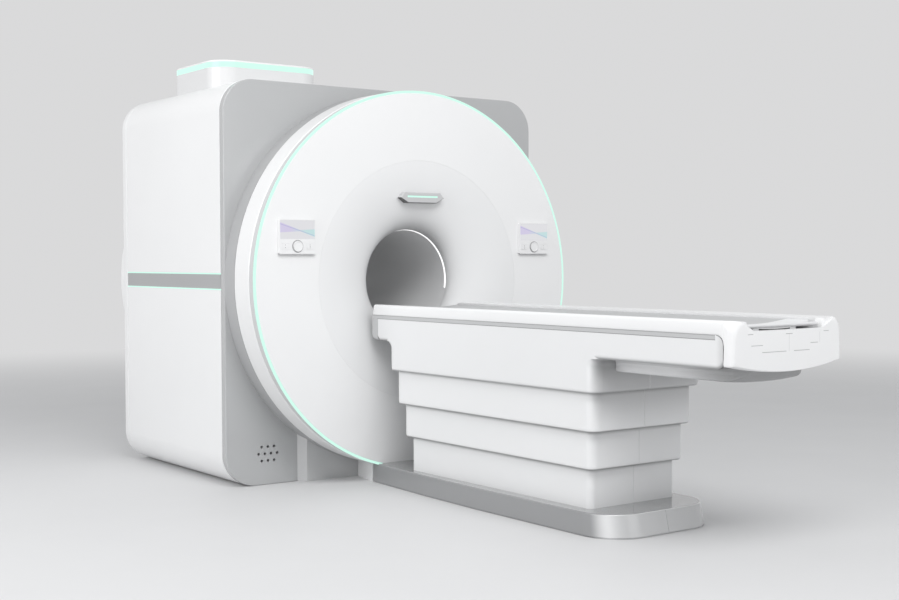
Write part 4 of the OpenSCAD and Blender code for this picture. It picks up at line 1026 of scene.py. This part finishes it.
# Painted shade: dark lines along the grooves above and below the bed, and in the inner corner where it turns
# down.
above = bed_paint.ease(bed_z_at, bed_top - bed_groove, bed_top - 0.001) * 0.45
below = (1 - bed_paint.ease(bed_z_at, bed_z + 0.0005, bed_z + bed_groove)) * (bed_z_at > bed_z - 0.001)
behind = (1 - bed_paint.ease(bed_y_at, bed_y_inner, bed_y_inner + bed_groove_y)) * (bed_z_at < bed_z)
groove_shade = below * (bed_y_at < bed_y_inner + bed_groove_y) + behind
bed_paint.darken(above + groove_shade * 0.8, (0.09, 0.09, 0.092))
dress(bed_paint, "slide_bed")
soften(nodes["slide_bed"], 0.0018, 2, 40)

# Table top
# Two white rims and the end cap are one glossy moulding. The cap has an open notch in front of the
# handle's pocket, fine seams between its padded fields and two small dimples.

top_low, top_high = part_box("table_top")
rim_z = top_high.z
rim_low = bed_top + bed_gap
seam_y = body_low.y - bed_gap
cap_l = seam_y - top_low.y
cap_low = 0.846
cap_bow = 0.036
turn_r = 0.045
nose_r = 0.030
rim_r = 0.014
rim_draft = 0.003
rim_turn = 0.008
rim_narrow = 0.005
rim_dip = 0.005
channel_x = 0.2545
channel_end = seam_y + 0.019
pocket_x = channel_x - 0.02
pocket_far = top_low.y + 0.016
notch_z = rim_z - 0.045
notch_x = 0.222
notch_slope = 0.080
open_z = rim_z + 0.009
cap_face = 0.028


def top_ring(y, half, low, bow, high, edge):
    """Section of the rims or the cap at a place along Y, with a bowed underside."""
    across = [i / 14 - 1 for i in range(29)]
    under = [(t * (half - rim_draft), low - bow * (1 - t * t)) for t in across]
    side = [(half, low + rim_turn), (half - rim_draft, high - edge - rim_turn)]
    over = bend(half - rim_narrow - edge, high - edge, edge, 10, 90, 10)
    flat = [(channel_x, high - rim_dip), (-channel_x, high - rim_dip)]
    back = [(-x, z) for x, z in (side + over)[::-1]]
    return [(x, y, z) for x, z in under + side + over + flat + back]


# Each place along the cap has a draw-in at the sides, a fall of its top and a round of its edge.
cap_profile = ((0.0, 0.001, 0.0, 0.016), (cap_l - 0.033, 0.002, 0.0, 0.024),
               (cap_l - 0.027, 0.0028, 0.0004, 0.030), (cap_l - 0.022, 0.004, 0.001, 0.036),
               (cap_l - 0.017, 0.0058, 0.0019, 0.043), (cap_l - 0.012, 0.008, 0.003, 0.048),
               (cap_l - 0.008, 0.0108, 0.0048, 0.053), (cap_l - 0.005, 0.014, 0.007, 0.056),
               (cap_l - 0.003, 0.0172, 0.0092, 0.0585), (cap_l - 0.0015, 0.021, 0.012, 0.060),
               (cap_l, 0.027, 0.017, 0.062))
top_rings = [top_ring(top_high.y - d, table_x - drop(nose_r, d), rim_low, 0.0,
                      rim_z - drop(nose_r, d) / 3, rim_r)
             for d in soft_steps(nose_r)]
top_rings += [top_ring(seam_y + d, table_x, rim_low - drop(turn_r, d), 0.0, rim_z, rim_r)
              for d in soft_steps(turn_r)[::-1]]
top_rings += [top_ring(seam_y - along, table_x - narrow, cap_low + narrow / 5, cap_bow, rim_z - down, edge)
              for along, narrow, down, edge in cap_profile]
table_top = drawn("rims_and_cap", skin(top_rings))


def trough(name, y0, y1, floor_x, wall_x, wall_z):
    """A cutter with a flat floor and sloping walls, open at the top."""
    half = [(floor_x, notch_z), (wall_x, wall_z), (wall_x, open_z)]
    outline = [(-floor_x, notch_z)] + half + [(-x, z) for x, z in half[:0:-1]]
    return drawn(name, skin([[(x, y, z) for x, z in outline] for y in (y0, y1)]))


carve(table_top,
      drawn("channel", box_skin(-channel_x, channel_x, channel_end, top_high.y + long_overshoot,
                                rim_low - 0.04, rim_z + long_overshoot)),
      drawn("pocket", box_skin(-pocket_x, pocket_x, pocket_far, channel_end + 0.001,
                               bed_z + 0.005, rim_z + long_overshoot)),
      trough("notch", top_low.y - overshoot, pocket_far + 0.0005, notch_x, notch_x + notch_slope,
             rim_z - 0.004),
      trough("recess", pocket_far, channel_end + 0.0005, pocket_x, channel_x, rim_z - 0.005))
cap_paint = moulded("cap_paint", (0.84, 0.842, 0.846), 0.3, grain=0.00004, coat=0.35)
cap_x, cap_y, cap_z = cap_paint.axes()
seam_line = 0.0017
on_end = cap_y < seam_y - cap_face


def between(value, low, high):
    return (value > low) * (value < high)


def near_to(value, place):
    return 1 - cap_paint.ease(abs(value - place), seam_line * 0.5, seam_line)


spread = abs(cap_x)
dashes = near_to(cap_z, 0.978) * between(spread, 0.228, 0.262)
dashes = dashes + near_to(cap_z, 0.930) * (between(cap_x, -0.240, -0.168) + between(cap_x, 0.140, 0.190))
dashes = dashes + near_to(cap_z, 0.900) * (between(cap_x, -0.172, -0.018) + between(cap_x, 0.031, 0.134))
dashes = dashes + near_to(cap_z, 0.974) * between(spread, -0.001, 0.022)
dashes = dashes + near_to(spread, 0.0) * between(cap_z, 0.899, 0.974) * 0.4
dashes = dashes + near_to(cap_x, 0.202) * between(cap_z, 0.930, 0.975) * 0.4
dimple_x = 0.325
dimple_y = seam_y + 0.028
dimple_r = 0.0030
dimple_fade = 0.0042
from_dimple = (spread - dimple_x) * (spread - dimple_x) + (cap_y - dimple_y) * (cap_y - dimple_y)
dimple = 1 - cap_paint.ease(from_dimple, dimple_r ** 2, dimple_fade ** 2)
marks = dashes * on_end + dimple * (cap_z > rim_z - 0.02)
cap_paint.darken(marks * 0.75, (0.22, 0.222, 0.226))
mount(table_top, cap_paint, "table", "table_white", "table_top", sharp=32)

# Cradle
# The patient lies on a dished moulded board that rolls on the bed's rails. A grey pad covers it up
# to a white end piece at the far end, where a bar handle on two short arms pulls it along.

_, cradle_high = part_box("cradle")
cradle_paint = moulded("cradle_paint", (0.45, 0.453, 0.458), 0.42, grain=0.0002, grain_scale=450,
                       coat=0.2)
end_white = (0.74, 0.743, 0.748)
pad_end = -2.0625
pad_seam = 0.0012
pad_edge = cradle_high.x - 0.004
cradle_x_at, cradle_y_at, _ = cradle_paint.axes()
cradle_paint.darken(1 - (cradle_y_at > pad_end) * (abs(cradle_x_at) < pad_edge), end_white)
seam_shade = 1 - cradle_paint.ease(abs(cradle_y_at - pad_end), pad_seam * 0.5, pad_seam)
cradle_paint.darken(seam_shade * 0.8, (0.12, 0.12, 0.122))
dress(cradle_paint, "cradle")
soften(nodes["cradle"], 0.0015, 2, 40)
handle_paint = moulded("handle_paint", (0.70, 0.703, 0.71), 0.3)
dress(handle_paint, "cradle_handle")

# Drive
# A motor bolted under the bed turns a toothed rubber belt over two black metal pulleys, and the
# belt draws the cradle along. The bed hides all of it.

drive_black = moulded("drive_black", (0.05, 0.05, 0.055), 0.5)
dress(drive_black, "drive_motor", "drive_pulley", "idler_pulley")
dress(moulded("belt_rubber", (0.02, 0.02, 0.02), 0.7), "drive_belt")
